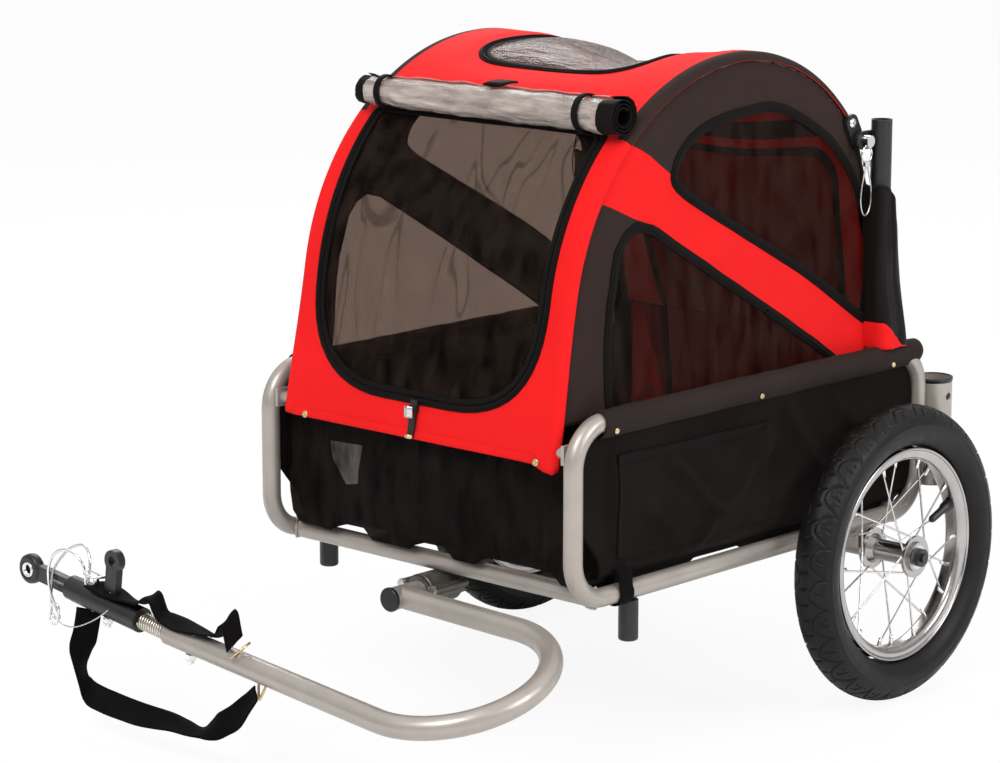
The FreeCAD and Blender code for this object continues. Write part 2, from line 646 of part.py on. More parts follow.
# Safety strap: a webbing loop that hangs below the arm, folded flat at its two corners.
def ribbon(start, end, fold_share):
    way = (end - start).normalize()
    side_way = V(-way.z, 0, way.x) * (mm.strap_width / 2)
    reach = way * (mm.strap_width / 2 * fold_share)
    corners = [start - reach + side_way, end + reach + side_way,
               end + reach - side_way, start - reach - side_way]
    return Part.Face(Part.makePolygon(corners + corners[:1])).extrude(Y_AXIS * mm.strap_thickness)


def safety_strap():
    band_middle = housing_end - mm.strap_band_inset - mm.strap_band_width / 2
    inner = mm.housing_radius + mm.weld_gap
    band = rod(V(band_middle - mm.strap_band_width / 2, 0, 0), V(band_middle + mm.strap_band_width / 2, 0, 0),
               inner + mm.strap_thickness)
    band = band.cut(rod(V(0, 0, 0), V(housing_end, 0, 0), inner))
    band.Placement = hitch_place
    top = hitch_place.multVec(V(band_middle, 0, -inner))
    strap_y = top.y - mm.strap_thickness / 2
    low_left = V(top.x - mm.strap_lean, strap_y, mm.strap_low_z)
    low_right = low_left + X_AXIS * mm.strap_base_length
    end = low_right + V(mm.strap_end_reach, 0, mm.strap_end_rise)
    hang_top = V(top.x, strap_y, top.z - mm.strap_thickness / 2)
    runs = [ribbon(hang_top, low_left, 0), ribbon(low_left, low_right, 1), ribbon(low_right, end, 0)]
    return band.fuse(runs).removeSplitter()


code_part("safety_strap", safety_strap())


# Wheels: tyre, rim and hub are turned bodies, the spokes run in crossed pairs.
def tyre_body(label):
    body = doc.addObject("PartDesign::Body", label)
    sketch = body.newObject("Sketcher::SketchObject", label + "_profile")
    sketch.AttachmentSupport = [(origin_plane(body, "XY_Plane"), "")]
    sketch.MapMode = "FlatFace"
    constraint = Sketcher.Constraint
    center_radius = mm.tyre_radius - mm.tyre_section_radius
    chord_radius = mm.rim_lip_radius + mm.cloth_gap
    drop = center_radius - chord_radius
    half = math.sqrt(mm.tyre_section_radius ** 2 - drop ** 2)
    spread = math.atan2(-drop, half)
    circle = Part.Circle(V(0, center_radius, 0), Z_AXIS, mm.tyre_section_radius)
    sketch.addGeometry(Part.ArcOfCircle(circle, spread, math.pi - spread), False)
    sketch.addGeometry(Part.LineSegment(V(-half, chord_radius, 0), V(half, chord_radius, 0)), False)
    sketch.addConstraint(constraint("Coincident", 0, 2, 1, 1))
    sketch.addConstraint(constraint("Coincident", 1, 2, 0, 1))
    sketch.addConstraint(constraint("PointOnObject", 0, 3, -2))
    sketch.addConstraint(constraint("Horizontal", 1))
    dimensions = (
        (constraint("DistanceY", -1, 1, 0, 3, center_radius), "tyre_radius -tyre_section_radius"),
        (constraint("DistanceY", -1, 1, 1, 1, chord_radius), "rim_lip_radius cloth_gap"),
        (constraint("Radius", 0, mm.tyre_section_radius), "tyre_section_radius"))
    for held, terms in dimensions:
        sketch.setExpression("Constraints[%d]" % sketch.addConstraint(held), formula(terms))
    turn = body.newObject("PartDesign::Revolution", label + "_turn")
    turn.Profile = sketch
    turn.ReferenceAxis = (sketch, ["H_Axis"])
    turn.Angle = 360
    return body


RIM_CORNERS = (
    ("-rim_half_width", "rim_lip_radius"), ("-rim_half_width rim_lip_width", "rim_lip_radius"),
    ("-rim_well_half", "rim_well_radius"), ("rim_well_half", "rim_well_radius"),
    ("rim_half_width -rim_lip_width", "rim_lip_radius"), ("rim_half_width", "rim_lip_radius"),
    ("rim_half_width", "rim_side_radius"), ("rim_inner_half", "rim_inner_radius"),
    ("-rim_inner_half", "rim_inner_radius"), ("-rim_half_width", "rim_side_radius"))
HUB_CORNERS = (
    ("-hub_inner_end", "seat_radius"), ("-hub_inner_end", "hub_boss_radius"),
    ("-hub_inner_end flange_width", "hub_boss_radius"), ("-hub_inner_end flange_width", "flange_radius"),
    ("-hub_inner_end flange_width flange_width", "flange_radius"),
    ("-hub_inner_end flange_width flange_width", "hub_boss_radius"),
    ("-hub_inner_end hub_boss_length flange_width", "barrel_radius"),
    ("hub_outer_end -hub_boss_length -flange_width", "barrel_radius"),
    ("hub_outer_end -flange_width -flange_width", "hub_boss_radius"),
    ("hub_outer_end -flange_width -flange_width", "flange_radius"),
    ("hub_outer_end -flange_width", "flange_radius"),
    ("hub_outer_end -flange_width", "hub_boss_radius"), ("hub_outer_end", "hub_boss_radius"),
    ("hub_outer_end", "seat_radius"), ("hub_outer_end -seat_depth", "seat_radius"),
    ("hub_outer_end -seat_depth", "hub_bore_radius"), ("-hub_inner_end seat_depth", "hub_bore_radius"),
    ("-hub_inner_end seat_depth", "seat_radius"))


def spoke_set():
    half_count = int(mm.spoke_count) // 2
    spokes = []
    for flange_x, phase_share in ((mm.hub_outer_end - mm.flange_width - mm.flange_width / 2, 0),
                                  (mm.flange_width + mm.flange_width / 2 - mm.hub_inner_end, 0.5)):
        for index in range(half_count):
            at_rim = 2 * math.pi * (index + phase_share) / half_count
            lead = math.radians(mm.spoke_lead_angle) * (1 if index % 2 else -1)
            at_hub = at_rim + lead
            rim_x = math.copysign(mm.spoke_rim_offset, flange_x)
            reach = mm.rim_inner_radius + mm.spoke_bury
            inner = V(flange_x, mm.spoke_circle * math.cos(at_hub), mm.spoke_circle * math.sin(at_hub))
            outer = V(rim_x, reach * math.cos(at_rim), reach * math.sin(at_rim))
            spokes.append(rod(inner, outer, mm.spoke_radius))
    return group(spokes)


def bearing_pair():
    rings = []
    for start in (mm.hub_outer_end - mm.seat_depth, -mm.hub_inner_end):
        ring = across(start, start + mm.seat_depth, 0, 0, mm.seat_radius)
        bore = across(start, start + mm.seat_depth, 0, 0, mm.axle_pin_radius + mm.running_gap)
        rings.append(ring.cut(bore))
    return group(rings)


WHEEL_PLACE = "loop_x axle_stub axle_end_gap hub_inner_end"
wheel_plane_x = amount(WHEEL_PLACE)
for side, sign in SIDES:
    turn = FreeCAD.Rotation(Z_AXIS, 0 if sign > 0 else 180)
    where = WHEEL_PLACE if sign > 0 else " ".join("-" + alias for alias in WHEEL_PLACE.split())
    place = FreeCAD.Placement(V(sign * wheel_plane_x, 0, mm.axle_z), turn)
    for label, body in (("tyre_" + side, tyre_body("tyre_" + side)),
                        ("rim_" + side, turned_body("rim_" + side, RIM_CORNERS)),
                        ("hub_" + side, turned_body("hub_" + side, HUB_CORNERS))):
        place_bound(body, turn, where, "", "axle_z")
        keep(body, label)
    code_part("spokes_" + side, spoke_set(), place)
    code_part("bearings_" + side, bearing_pair(), place)


# Axle pins: each runs from inside the axle tube through the hub to a head with a push button.
head_start = wheel_plane_x + mm.hub_outer_end + mm.weld_gap


def axle_pin(sign):
    inner = mm.loop_x + mm.axle_stub - mm.axle_pin_grip
    head_end = head_start + mm.axle_head_length
    pin = across(sign * inner, sign * head_start, 0, mm.axle_z, mm.axle_pin_radius)
    head = across(sign * head_start, sign * head_end, 0, mm.axle_z, mm.axle_head_radius)
    recess = across(sign * (head_end - mm.button_length), sign * head_end, 0, mm.axle_z,
                    mm.button_radius + mm.running_gap)
    return pin.fuse(head).cut(recess)


code_part("axle_pins", group([axle_pin(sign) for side, sign in SIDES]))
for side, sign in SIDES:
    outer = head_start + mm.axle_head_length + mm.button_proud
    inner = outer - mm.button_length + mm.button_proud
    code_part("button_" + side, across(sign * inner, sign * outer, 0, mm.axle_z, mm.button_radius))

def canopy_bow(sign):
    foot = front_leg_at(0, mm.pivot_z - mm.bow_tail)
    path = Part.Wire([Part.LineSegment(foot, on_front_arch(0, arch_sweep)).toShape(),
                      arc_between(on_front_arch, 0, arch_sweep, 0),
                      arc_between(on_rear_arch, 0, 0, rear_sweep)])
    bow = swept_tube(path, mm.bow_radius)
    bow.translate(V(sign * mm.bow_x, 0, 0))
    hole = across(0, sign * mm.loop_x, mm.pivot_y, mm.pivot_z, mm.pivot_bolt_radius + mm.running_gap)
    return bow.cut(hole)


for side, sign in SIDES:
    code_part("bow_" + side, canopy_bow(sign))

# Bow lugs: flat plates bolted to the bows' rear ends, with a hole for the lock pin.
lug_angle = rear_sweep - mm.lug_bolt_back / rear_arch_radius
lug_bolt_place = on_rear_arch(0, lug_angle)
bow_outer_x = mm.bow_x + mm.bow_radius


def bow_lug(sign):
    inner = sign * mm.lug_x
    outer = sign * (mm.lug_x + mm.lug_thickness)
    bolt_end = V(inner, lug_bolt_place.y, lug_bolt_place.z)
    pin_end = V(inner, lock_pin_y, lock_pin_z)
    way = (pin_end - bolt_end).normalize()
    side_way = V(0, -way.z, way.y) * mm.lug_radius
    outline = Part.makePolygon([bolt_end + side_way, pin_end + side_way, pin_end - side_way,
                                bolt_end - side_way, bolt_end + side_way])
    web = Part.Face(outline).extrude(V(outer - inner, 0, 0))
    plate = web.fuse([across(inner, outer, end.y, end.z, mm.lug_radius) for end in (bolt_end, pin_end)])
    plate = plate.cut(across(0, outer + sign * mm.overrun, pin_end.y, pin_end.z,
                             mm.lock_pin_radius + mm.running_gap))
    shank = across(sign * (bow_outer_x + mm.weld_gap), outer, bolt_end.y, bolt_end.z, mm.pivot_bolt_radius)
    head = across(outer, outer + sign * mm.lug_head_length, bolt_end.y, bolt_end.z, mm.bolt_head_radius)
    return plate.fuse(shank).fuse(head).removeSplitter()


code_part("bow_lugs", group([bow_lug(sign) for side, sign in SIDES]))


# Rear posts: open-topped uprights on the hinges, each with a tang in front that the lock pin goes through.
tang_inner = mm.post_x - mm.post_radius + mm.cloth_gap
tang_outer = tang_inner + mm.tang_thickness


def rear_post(sign):
    x = sign * mm.post_x
    post = rod(V(x, post_y, mm.post_pivot_z), V(x, post_y, post_top_z), mm.post_radius)
    foot = across(x - mm.post_radius, x + mm.post_radius, post_y, mm.post_pivot_z, mm.post_radius)
    eye = across(sign * tang_inner, sign * tang_outer, lock_pin_y, lock_pin_z, mm.lug_radius)
    low = V(min(sign * tang_inner, sign * tang_outer), lock_pin_y, lock_pin_z - mm.lug_radius)
    high = V(max(sign * tang_inner, sign * tang_outer), post_y, lock_pin_z + mm.lug_radius)
    post = post.fuse(foot).fuse(eye).fuse(box_between(low, high))
    post = post.cut(rod(V(x, post_y, post_top_z - mm.post_bore_depth), V(x, post_y, post_top_z + mm.overrun),
                        mm.post_bore))
    post = post.cut(across(x - mm.overrun, x + mm.overrun, post_y, mm.post_pivot_z,
                           mm.post_bolt_radius + mm.running_gap))
    post = post.cut(across(x - mm.overrun, x + mm.overrun, lock_pin_y, lock_pin_z,
                           mm.lock_pin_radius + mm.running_gap))
    return post.removeSplitter()


# Lock pins: a ball-lock pin with a knurled head, a ring that hangs from it and a ferrule for the lanyard.
def lock_pin(sign):
    tip = sign * (tang_inner + mm.cloth_gap)
    shoulder = sign * (tang_outer + mm.cloth_gap)
    outer = shoulder + sign * mm.lock_head_length
    pin = across(tip, shoulder, lock_pin_y, lock_pin_z, mm.lock_pin_radius)
    head = across(shoulder, outer, lock_pin_y, lock_pin_z, mm.lock_head_radius)
    ring_x = shoulder + sign * mm.lock_head_length / 2
    ring_z = lock_pin_z - mm.lock_head_radius - mm.ring_radius + mm.ring_wire
    ring = Part.makeTorus(mm.ring_radius, mm.ring_wire, V(ring_x, lock_pin_y, ring_z), X_AXIS)
    ferrule_top = ring_z - mm.ring_radius + mm.ring_wire
    ferrule = rod(V(ring_x, lock_pin_y, ferrule_top), V(ring_x, lock_pin_y, ferrule_top - mm.ferrule_length),
                  mm.ferrule_radius)
    return pin.fuse(head).fuse(ring).fuse(ferrule), V(ring_x, lock_pin_y, ferrule_top - mm.ferrule_length)


# Lanyards: a thin cable that leaves the ferrule, hangs in a loop and comes back to it.
def lanyard(foot):
    start = foot - Z_AXIS * mm.weld_gap
    points = [start + V(0, -across_share * mm.lanyard_half_width, -drop_share * mm.lanyard_bottom_drop)
              for across_share, drop_share in LANYARD_SHARES]
    radii = []
    for before, corner, after in zip(points, points[1:], points[2:]):
        turn = (corner - before).getAngle(after - corner)
        shorter = min((corner - before).Length, (after - corner).Length)
        radii.append(CORNER_SHARE * shorter / math.tan(turn / 2))
    print("lanyard radii", [round(radius, 1) for radius in radii])
    path = rounded_path(points, radii)
    tube = swept_tube(path, mm.lanyard_radius)
    print("lanyard length", round(path.Length, 1), "volume share",
          round(tube.Volume / (math.pi * mm.lanyard_radius ** 2 * path.Length), 3))
    return tube


for side, sign in SIDES:
    code_part("rear_post_" + side, rear_post(sign))
    pin_shape, ferrule_foot = lock_pin(sign)
    code_part("lock_pin_" + side, pin_shape)
    code_part("lanyard_" + side, lanyard(ferrule_foot))

# Canopy cloth. The front panel and the roof lie just outside the bows.
cloth_in = mm.bow_radius + mm.cloth_gap
cloth_out = cloth_in + mm.cloth_thickness
cloth_half = mm.panel_x - mm.cloth_gap


def front_sheet():
    low_in = front_leg_at(cloth_in, mm.hem_z)
    low_out = front_leg_at(cloth_out, mm.hem_z)
    edges = [Part.LineSegment(low_in, on_front_arch(cloth_in, arch_sweep)).toShape(),
             arc_between(on_front_arch, cloth_in, arch_sweep, split_sweep),
             Part.LineSegment(on_front_arch(cloth_in, split_sweep),
                              on_front_arch(cloth_out, split_sweep)).toShape(),
             arc_between(on_front_arch, cloth_out, split_sweep, arch_sweep),
             Part.LineSegment(on_front_arch(cloth_out, arch_sweep), low_out).toShape(),
             Part.LineSegment(low_out, low_in).toShape()]
    sheet_solid = face_of(edges).extrude(X_AXIS * (2 * cloth_half))
    sheet_solid.translate(X_AXIS * -cloth_half)
    return sheet_solid


def door_prism(inset, top_inset):
    """The D-shaped door outline, pushed through the front from ahead."""
    half = mm.door_half_width - inset
    low = mm.door_bottom_z + inset
    high = arch_top_z - mm.door_top_drop - top_inset
    y = mm.loop_front_y - mm.overrun * 2
    points = [V(-half, y, low), V(half, y, low), V(half, y, high), V(-half, y, high)]
    middle = V(0, y, low)
    radii = [mm.door_low_radius, mm.door_top_radius, mm.door_top_radius, mm.door_low_radius]
    ring = [middle, points[1], points[2], points[3], points[0], middle]
    face = Part.Face(rounded_path(ring, radii))
    return face.extrude(Y_AXIS * (arch_top_y - y))


front_cloth = front_sheet()
code_part("canopy_front", front_cloth.cut(door_prism(0, 0)))
code_part("door_panel", front_cloth.common(door_prism(mm.seam_gap, mm.cloth_gap)))


# Zip slider and its hanging pull, at the middle of the door's lower edge.
def zip_slider():
    lean = math.pi / 2 - arch_sweep
    seat = front_leg_at(cloth_out + mm.cloth_gap, mm.door_bottom_z)
    block = box_between(V(-mm.slider_width / 2, -mm.slider_depth, -mm.slider_height),
                        V(mm.slider_width / 2, 0, 0))
    pull = box_between(V(-mm.pull_width / 2, -mm.slider_depth, -mm.slider_height - mm.pull_height),
                       V(mm.pull_width / 2, mm.pull_depth - mm.slider_depth, -mm.slider_height / 2))
    lean_turn = FreeCAD.Rotation(X_AXIS, -math.degrees(lean))
    return block.fuse(pull).removeSplitter(), FreeCAD.Placement(seat, lean_turn)


code_part("zip_slider", *zip_slider())


# Roof: flat strips on the bows and a sagging field between them, with the sunroof cut out.
def roof_profile(x, sag):
    """A closed thin profile at x: two arcs outside, two inside, the middle lowered by the sag."""
    def lowered(place, offset, angle, share):
        point = place(offset, angle)
        return V(x, point.y, point.z - sag * share)

    def half_outline(offset):
        first = lowered(on_front_arch, offset, split_sweep, 0)
        top = lowered(on_rear_arch, offset, 0, 1)
        last = lowered(on_rear_arch, offset, rear_sweep, SAG_FADE_SHARE)
        front_middle = lowered(on_front_arch, offset, split_sweep / 2, SAG_FADE_SHARE)
        rear_middle = lowered(on_rear_arch, offset, rear_sweep / 2, 1)
        return first, front_middle, top, rear_middle, last

    inner = half_outline(cloth_in)
    outer = half_outline(cloth_out)
    return Part.Wire([Part.Arc(*inner[:3]).toShape(), Part.Arc(*inner[2:]).toShape(),
                      Part.LineSegment(inner[4], outer[4]).toShape(),
                      Part.Arc(*outer[4:1:-1]).toShape(), Part.Arc(*outer[2::-1]).toShape(),
                      Part.LineSegment(outer[0], inner[0]).toShape()])


def roof_sheet():
    inner_x = cloth_half - mm.roof_edge_width
    field = Part.makeLoft([roof_profile(-inner_x, 0), roof_profile(0, mm.roof_sag), roof_profile(inner_x, 0)],
                          True, False)
    strips = []
    for start in (-cloth_half, inner_x):
        strips.append(Part.Face(roof_profile(start, 0)).extrude(X_AXIS * mm.roof_edge_width))
    return field.fuse(strips).removeSplitter()


def sunroof_prism(inset, rear_inset):
    half = mm.sunroof_half_width - inset
    front = arch_top_y - mm.sunroof_front + inset
    rear = arch_top_y + mm.sunroof_rear - rear_inset
    low = arch_top_z - rear_arch_radius
    points = [V(half, front, low), V(half, rear, low), V(-half, rear, low), V(-half, front, low)]
    return rounded_outline(points, mm.sunroof_corner).extrude(Z_AXIS * (rear_arch_radius + mm.overrun * 2))


roof_cloth = roof_sheet()
roof_cloth.translate(V(0, mm.cloth_gap * math.cos(split_sweep), mm.cloth_gap * math.sin(split_sweep)))
code_part("canopy_roof", roof_cloth.cut(sunroof_prism(0, 0)))
code_part("sunroof_cover", roof_cloth.common(sunroof_prism(mm.seam_gap, mm.cloth_gap)))


# Side panels: flat arches with two windows, outside the bows.
rear_top = on_rear_arch(cloth_out, rear_sweep)
side_front_low = front_leg_at(cloth_out, mm.side_bottom_z)
side_rear_low = V(0, mm.tub_rear_y, mm.side_bottom_z)
side_length = mm.tub_rear_y - side_front_low.y
side_height = arch_top_z + cloth_out - mm.side_bottom_z


def window_face(shares, inset):
    """A rounded window outline, drawn in by the inset on every side."""
    points = [V(0, side_front_low.y + along_share * side_length, mm.side_bottom_z + up_share * side_height)
              for along_share, up_share in shares]
    face = rounded_outline(points, WINDOW_CORNER_SHARE * side_height)
    if not inset:
        return face
    return Part.Face(face.OuterWire.makeOffset2D(-inset))


def side_panel(sign):
    edges = [Part.LineSegment(side_front_low, on_front_arch(cloth_out, arch_sweep)).toShape(),
             arc_between(on_front_arch, cloth_out, arch_sweep, 0),
             arc_between(on_rear_arch, cloth_out, 0, rear_sweep),
             Part.LineSegment(rear_top, side_rear_low).toShape(),
             Part.LineSegment(side_rear_low, side_front_low).toShape()]
    face = face_of(edges)
    panel = face.extrude(X_AXIS * mm.cloth_thickness)
    for shares in (UPPER_WINDOW_SHARES, LOWER_WINDOW_SHARES):
        panel = panel.cut(window_face(shares, 0).extrude(X_AXIS * mm.cloth_thickness))
    panel = panel.cut(across(-mm.overrun, mm.overrun, lug_bolt_place.y, lug_bolt_place.z,
                             mm.pivot_bolt_radius + mm.cloth_gap))
    panel.translate(X_AXIS * (mm.panel_x if sign > 0 else -mm.panel_x - mm.cloth_thickness))
    return panel


def side_windows(sign):
    panes = [window_face(shares, mm.cloth_gap).extrude(X_AXIS * mm.cloth_thickness)
             for shares in (UPPER_WINDOW_SHARES, LOWER_WINDOW_SHARES)]
    windows = group(panes)
    windows.translate(X_AXIS * (mm.panel_x if sign > 0 else -mm.panel_x - mm.cloth_thickness))
    return windows


for side, sign in SIDES:
    code_part("canopy_side_" + side, side_panel(sign))
    code_part("side_windows_" + side, side_windows(sign))


# Rear panel of the canopy: from the roof's rear edge down to the tub.
def canopy_rear():
    top = on_rear_arch(cloth_in, rear_sweep) - V(0, 0, mm.roof_sag + mm.cloth_gap)
    corners = [top, top - Y_AXIS * mm.cloth_thickness,
               V(0, mm.tub_rear_y - mm.cloth_thickness, mm.rear_bottom_z),
               V(0, mm.tub_rear_y, mm.rear_bottom_z)]
    sheet_solid = Part.Face(Part.makePolygon(corners + corners[:1])).extrude(X_AXIS * (2 * cloth_half))
    sheet_solid.translate(X_AXIS * -cloth_half)
    return sheet_solid


code_part("canopy_rear", canopy_rear())

# Rolled rain cover above the door, held by two elastic loops.
roll_offset = cloth_out + mm.cloth_gap + mm.roll_radius + mm.roll_strap
roll_place = on_front_arch(roll_offset, math.radians(mm.roll_angle))
code_part("rain_roll", across(mm.roll_shift - mm.roll_half_length, mm.roll_shift + mm.roll_half_length,
                              roll_place.y, roll_place.z, mm.roll_radius))


def roll_strap(x):
    band = across(x - mm.roll_strap_width / 2, x + mm.roll_strap_width / 2, roll_place.y, roll_place.z,
                  mm.roll_radius + mm.roll_strap)
    return band.cut(across(x - mm.roll_strap_width, x + mm.roll_strap_width, roll_place.y, roll_place.z,
                           mm.roll_radius + mm.running_gap))


code_part("roll_straps", group([roll_strap(sign * mm.roll_strap_x) for side, sign in SIDES]))

# Tub: a floor board on the rails, side panels inside the loops, front and rear panels.
floor_z = mm.loop_low_z + mm.tube_radius + mm.cloth_gap
tub_front_y = mm.loop_front_y + mm.tub_wall_set
tub_half = mm.loop_x - mm.tube_radius - mm.cloth_gap
code_part("tub_floor", box_between(V(-tub_half, tub_front_y, floor_z),
                                   V(tub_half, mm.tub_rear_y, floor_z + mm.floor_thickness)))
code_part("tub_front", box_between(V(-tub_half, tub_front_y - mm.cloth_thickness, floor_z),
                                   V(tub_half, tub_front_y - mm.cloth_gap, mm.tub_front_top_z)))
tub_rear_front = mm.tub_rear_y + mm.cloth_gap
code_part("tub_rear", box_between(V(-tub_half, tub_rear_front, floor_z),
                                  V(tub_half, tub_rear_front + mm.cloth_thickness, mm.loop_high_z)))


def tub_side(sign):
    inset = mm.tube_radius + mm.cloth_gap
    x = sign * mm.loop_x - mm.cloth_thickness / 2
    low = mm.loop_low_z + mm.tube_radius + mm.tub_gap_low
    high = mm.loop_high_z - inset - mm.sleeve_thickness - mm.cloth_gap
    points = [V(x, mm.loop_front_y + inset, low), V(x, mm.loop_rear_y - inset, low),
              V(x, mm.loop_rear_y - inset, high), V(x, mm.loop_front_y + inset, high)]
    return rounded_outline(points, mm.tub_corner_radius).extrude(X_AXIS * mm.cloth_thickness)


for side, sign in SIDES:
    code_part("tub_side_" + side, tub_side(sign))


# Rail sleeves: cloth tubes round the top rails that carry the tub's side panels.
def rail_sleeve(sign):
    front = mm.loop_front_y + mm.sleeve_front
    rear = mm.loop_rear_y - mm.sleeve_rear
    inner = mm.tube_radius + mm.cloth_gap
    tube = along(front, rear, sign * mm.loop_x, mm.loop_high_z, inner + mm.sleeve_thickness)
    return tube.cut(along(front, rear, sign * mm.loop_x, mm.loop_high_z, inner))


code_part("rail_sleeves", group([rail_sleeve(sign) for side, sign in SIDES]))

doc.recompute()
for item in doc.Objects:
    if "Invalid" in item.State or "Error" in item.State:
        raise RuntimeError("failed object: " + item.Label)
for part in sub_parts:
    if part.Shape.isNull() or not part.Shape.isValid():
        raise RuntimeError("bad shape: " + part.Label)
os.makedirs("parts", exist_ok=True)
for part in sub_parts:
    part.Shape.exportStep(os.path.join("parts", part.Label + ".step"))
print(len(sub_parts), "sub-parts written")
print("arm end", arm_end, "stub height", round(stub_z, 2))
print("hitch eye", hitch_place.multVec(V(housing_end + mm.fork_reach, 0, 0)), "way", hitch_way)
print("spring middle", hitch_place.multVec(V(mm.spring_length / 2, 0, 0)))
print("arch top", round(arch_top_y, 2), round(arch_top_z, 2))
print("arch radii", round(front_arch_radius, 2), round(rear_arch_radius, 2))
print("lug bolt", lug_bolt_place, "roll", roll_place, "pin height", round(lock_pin_z, 2))
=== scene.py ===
# %% [markdown]
# # Dog bike trailer
# A fabric dog cabin stands on a bent-tube chassis with two spoked wheels and a hooked tow arm.
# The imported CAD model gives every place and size. This lesson dresses it: cloth is cut flat and laid on
# the canopy's bows, net is see-through, the tyres get their tread and the metal gets its finish.

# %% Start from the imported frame
import math
import bpy
from mathutils import Matrix, Vector, noise
from mathutils.geometry import delaunay_2d_cdt


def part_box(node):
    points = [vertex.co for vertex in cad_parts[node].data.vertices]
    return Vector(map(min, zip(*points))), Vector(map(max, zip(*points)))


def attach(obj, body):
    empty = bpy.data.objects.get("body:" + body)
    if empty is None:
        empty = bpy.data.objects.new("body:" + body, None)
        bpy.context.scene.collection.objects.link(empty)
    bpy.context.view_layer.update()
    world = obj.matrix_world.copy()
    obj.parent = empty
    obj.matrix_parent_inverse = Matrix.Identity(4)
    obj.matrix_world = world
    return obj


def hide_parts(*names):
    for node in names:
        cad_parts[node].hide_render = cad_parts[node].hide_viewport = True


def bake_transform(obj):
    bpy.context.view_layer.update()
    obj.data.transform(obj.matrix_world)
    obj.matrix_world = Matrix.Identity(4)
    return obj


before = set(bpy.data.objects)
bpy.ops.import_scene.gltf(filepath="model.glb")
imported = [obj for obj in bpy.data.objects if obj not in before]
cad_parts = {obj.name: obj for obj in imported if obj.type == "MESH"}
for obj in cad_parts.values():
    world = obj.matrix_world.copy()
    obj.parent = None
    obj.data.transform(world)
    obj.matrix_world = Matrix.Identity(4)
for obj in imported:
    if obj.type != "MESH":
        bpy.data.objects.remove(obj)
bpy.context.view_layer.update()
SIDES = (("left", 1), ("right", -1))

# %% [markdown]
# ## Camera
# The photograph was taken with a long lens from ahead of the trailer's left wheel, a little above it.
# The camera's place was found from the wheel's ellipse and the chassis loops, so the picture's frame
# and the model's frame agree and nothing has to be nudged by eye.

# %% Camera
camera_data = bpy.data.cameras.new("camera")
camera_data.sensor_width = 36
camera_data.lens = 119.4
camera_data.clip_end = 50
camera = bpy.data.objects.new("camera", camera_data)
camera.location = (2.1523, -2.6199, 0.9843)
camera.rotation_euler = Vector((-0.6684, 0.7162, -0.2011)).to_track_quat("-Z", "Y").to_euler()
bpy.context.collection.objects.link(camera)
bpy.context.scene.camera = camera
bpy.context.scene.view_settings.view_transform = "Standard"
print("camera at", [round(x, 2) for x in camera.location])


# %% [markdown]
# ## Studio
# A catalogue picture on white: one pale floor, three soft lamps in front, at the side and behind, and a pale
# surround that is brighter overhead than at its sides. To the object the floor is a plain diffuse surface, so
# it keeps a soft shadow. To the camera it shows itself near white.

# %% Node helpers
def cleared(owner):
    """The empty node tree of a material or of the surround."""
    owner.use_nodes = True
    owner.node_tree.nodes.clear()
    return owner.node_tree


def add_node(tree, kind, sockets, operation=None):
    """Adds a node. sockets says what each one takes: a value, or the output of another node."""
    node = tree.nodes.new(kind)
    if operation:
        node.operation = operation
    for socket, value in sockets.items():
        if isinstance(value, bpy.types.NodeSocket):
            tree.links.new(value, node.inputs[socket])
        else:
            node.inputs[socket].default_value = value
    return node


def worked(tree, operation, *terms):
    """The result of one step of arithmetic on numbers and outputs of other nodes."""
    return add_node(tree, "ShaderNodeMath", dict(enumerate(terms)), operation).outputs[0]


def in_range(tree, value, old, new):
    """A value carried over from one range to another."""
    span = add_node(tree, "ShaderNodeMapRange", {"Value": value, "From Min": old[0], "From Max": old[1],
                                                 "To Min": new[0], "To Max": new[1]})
    return span.outputs["Result"]


def mixed(tree, share, first, second):
    """Two shaders in one. share is how much of the second shows."""
    both = {0: share, 1: first.outputs[0], 2: second.outputs[0]}
    return add_node(tree, "ShaderNodeMixShader", both).outputs[0]


def looked_at(tree):
    """1 where the camera sees the thing itself, straight or through film, and 0 for its light elsewhere."""
    path = tree.nodes.new("ShaderNodeLightPath")
    return worked(tree, "MAXIMUM", path.outputs["Is Camera Ray"], path.outputs["Is Transmission Ray"])


print("node helpers ready")

# %% Floor, surround and lamps
WHITE = (1, 1, 1, 1)
FLOOR_HALF, FLOOR_GREY, FLOOR_GLOW = 9, (0.86, 0.86, 0.86, 1), 0.91
SIDE_LIGHT, TOP_LIGHT = 0.34, 0.92
floor_corners = [(x * FLOOR_HALF, y * FLOOR_HALF, 0) for x, y in ((-1, -1), (1, -1), (1, 1), (-1, 1))]
floor_mesh = bpy.data.meshes.new("floor")
floor_mesh.from_pydata(floor_corners, [], [(0, 1, 2, 3)])
floor = bpy.data.objects.new("floor", floor_mesh)
bpy.context.collection.objects.link(floor)
floor_finish = bpy.data.materials.new("pale_floor")
tree = cleared(floor_finish)
diffuse = add_node(tree, "ShaderNodeBsdfDiffuse", {"Color": FLOOR_GREY})
glow = add_node(tree, "ShaderNodeEmission", {"Color": WHITE})
share = worked(tree, "MULTIPLY", looked_at(tree), FLOOR_GLOW)
add_node(tree, "ShaderNodeOutputMaterial", {"Surface": mixed(tree, share, diffuse, glow)})
floor_mesh.materials.append(floor_finish)

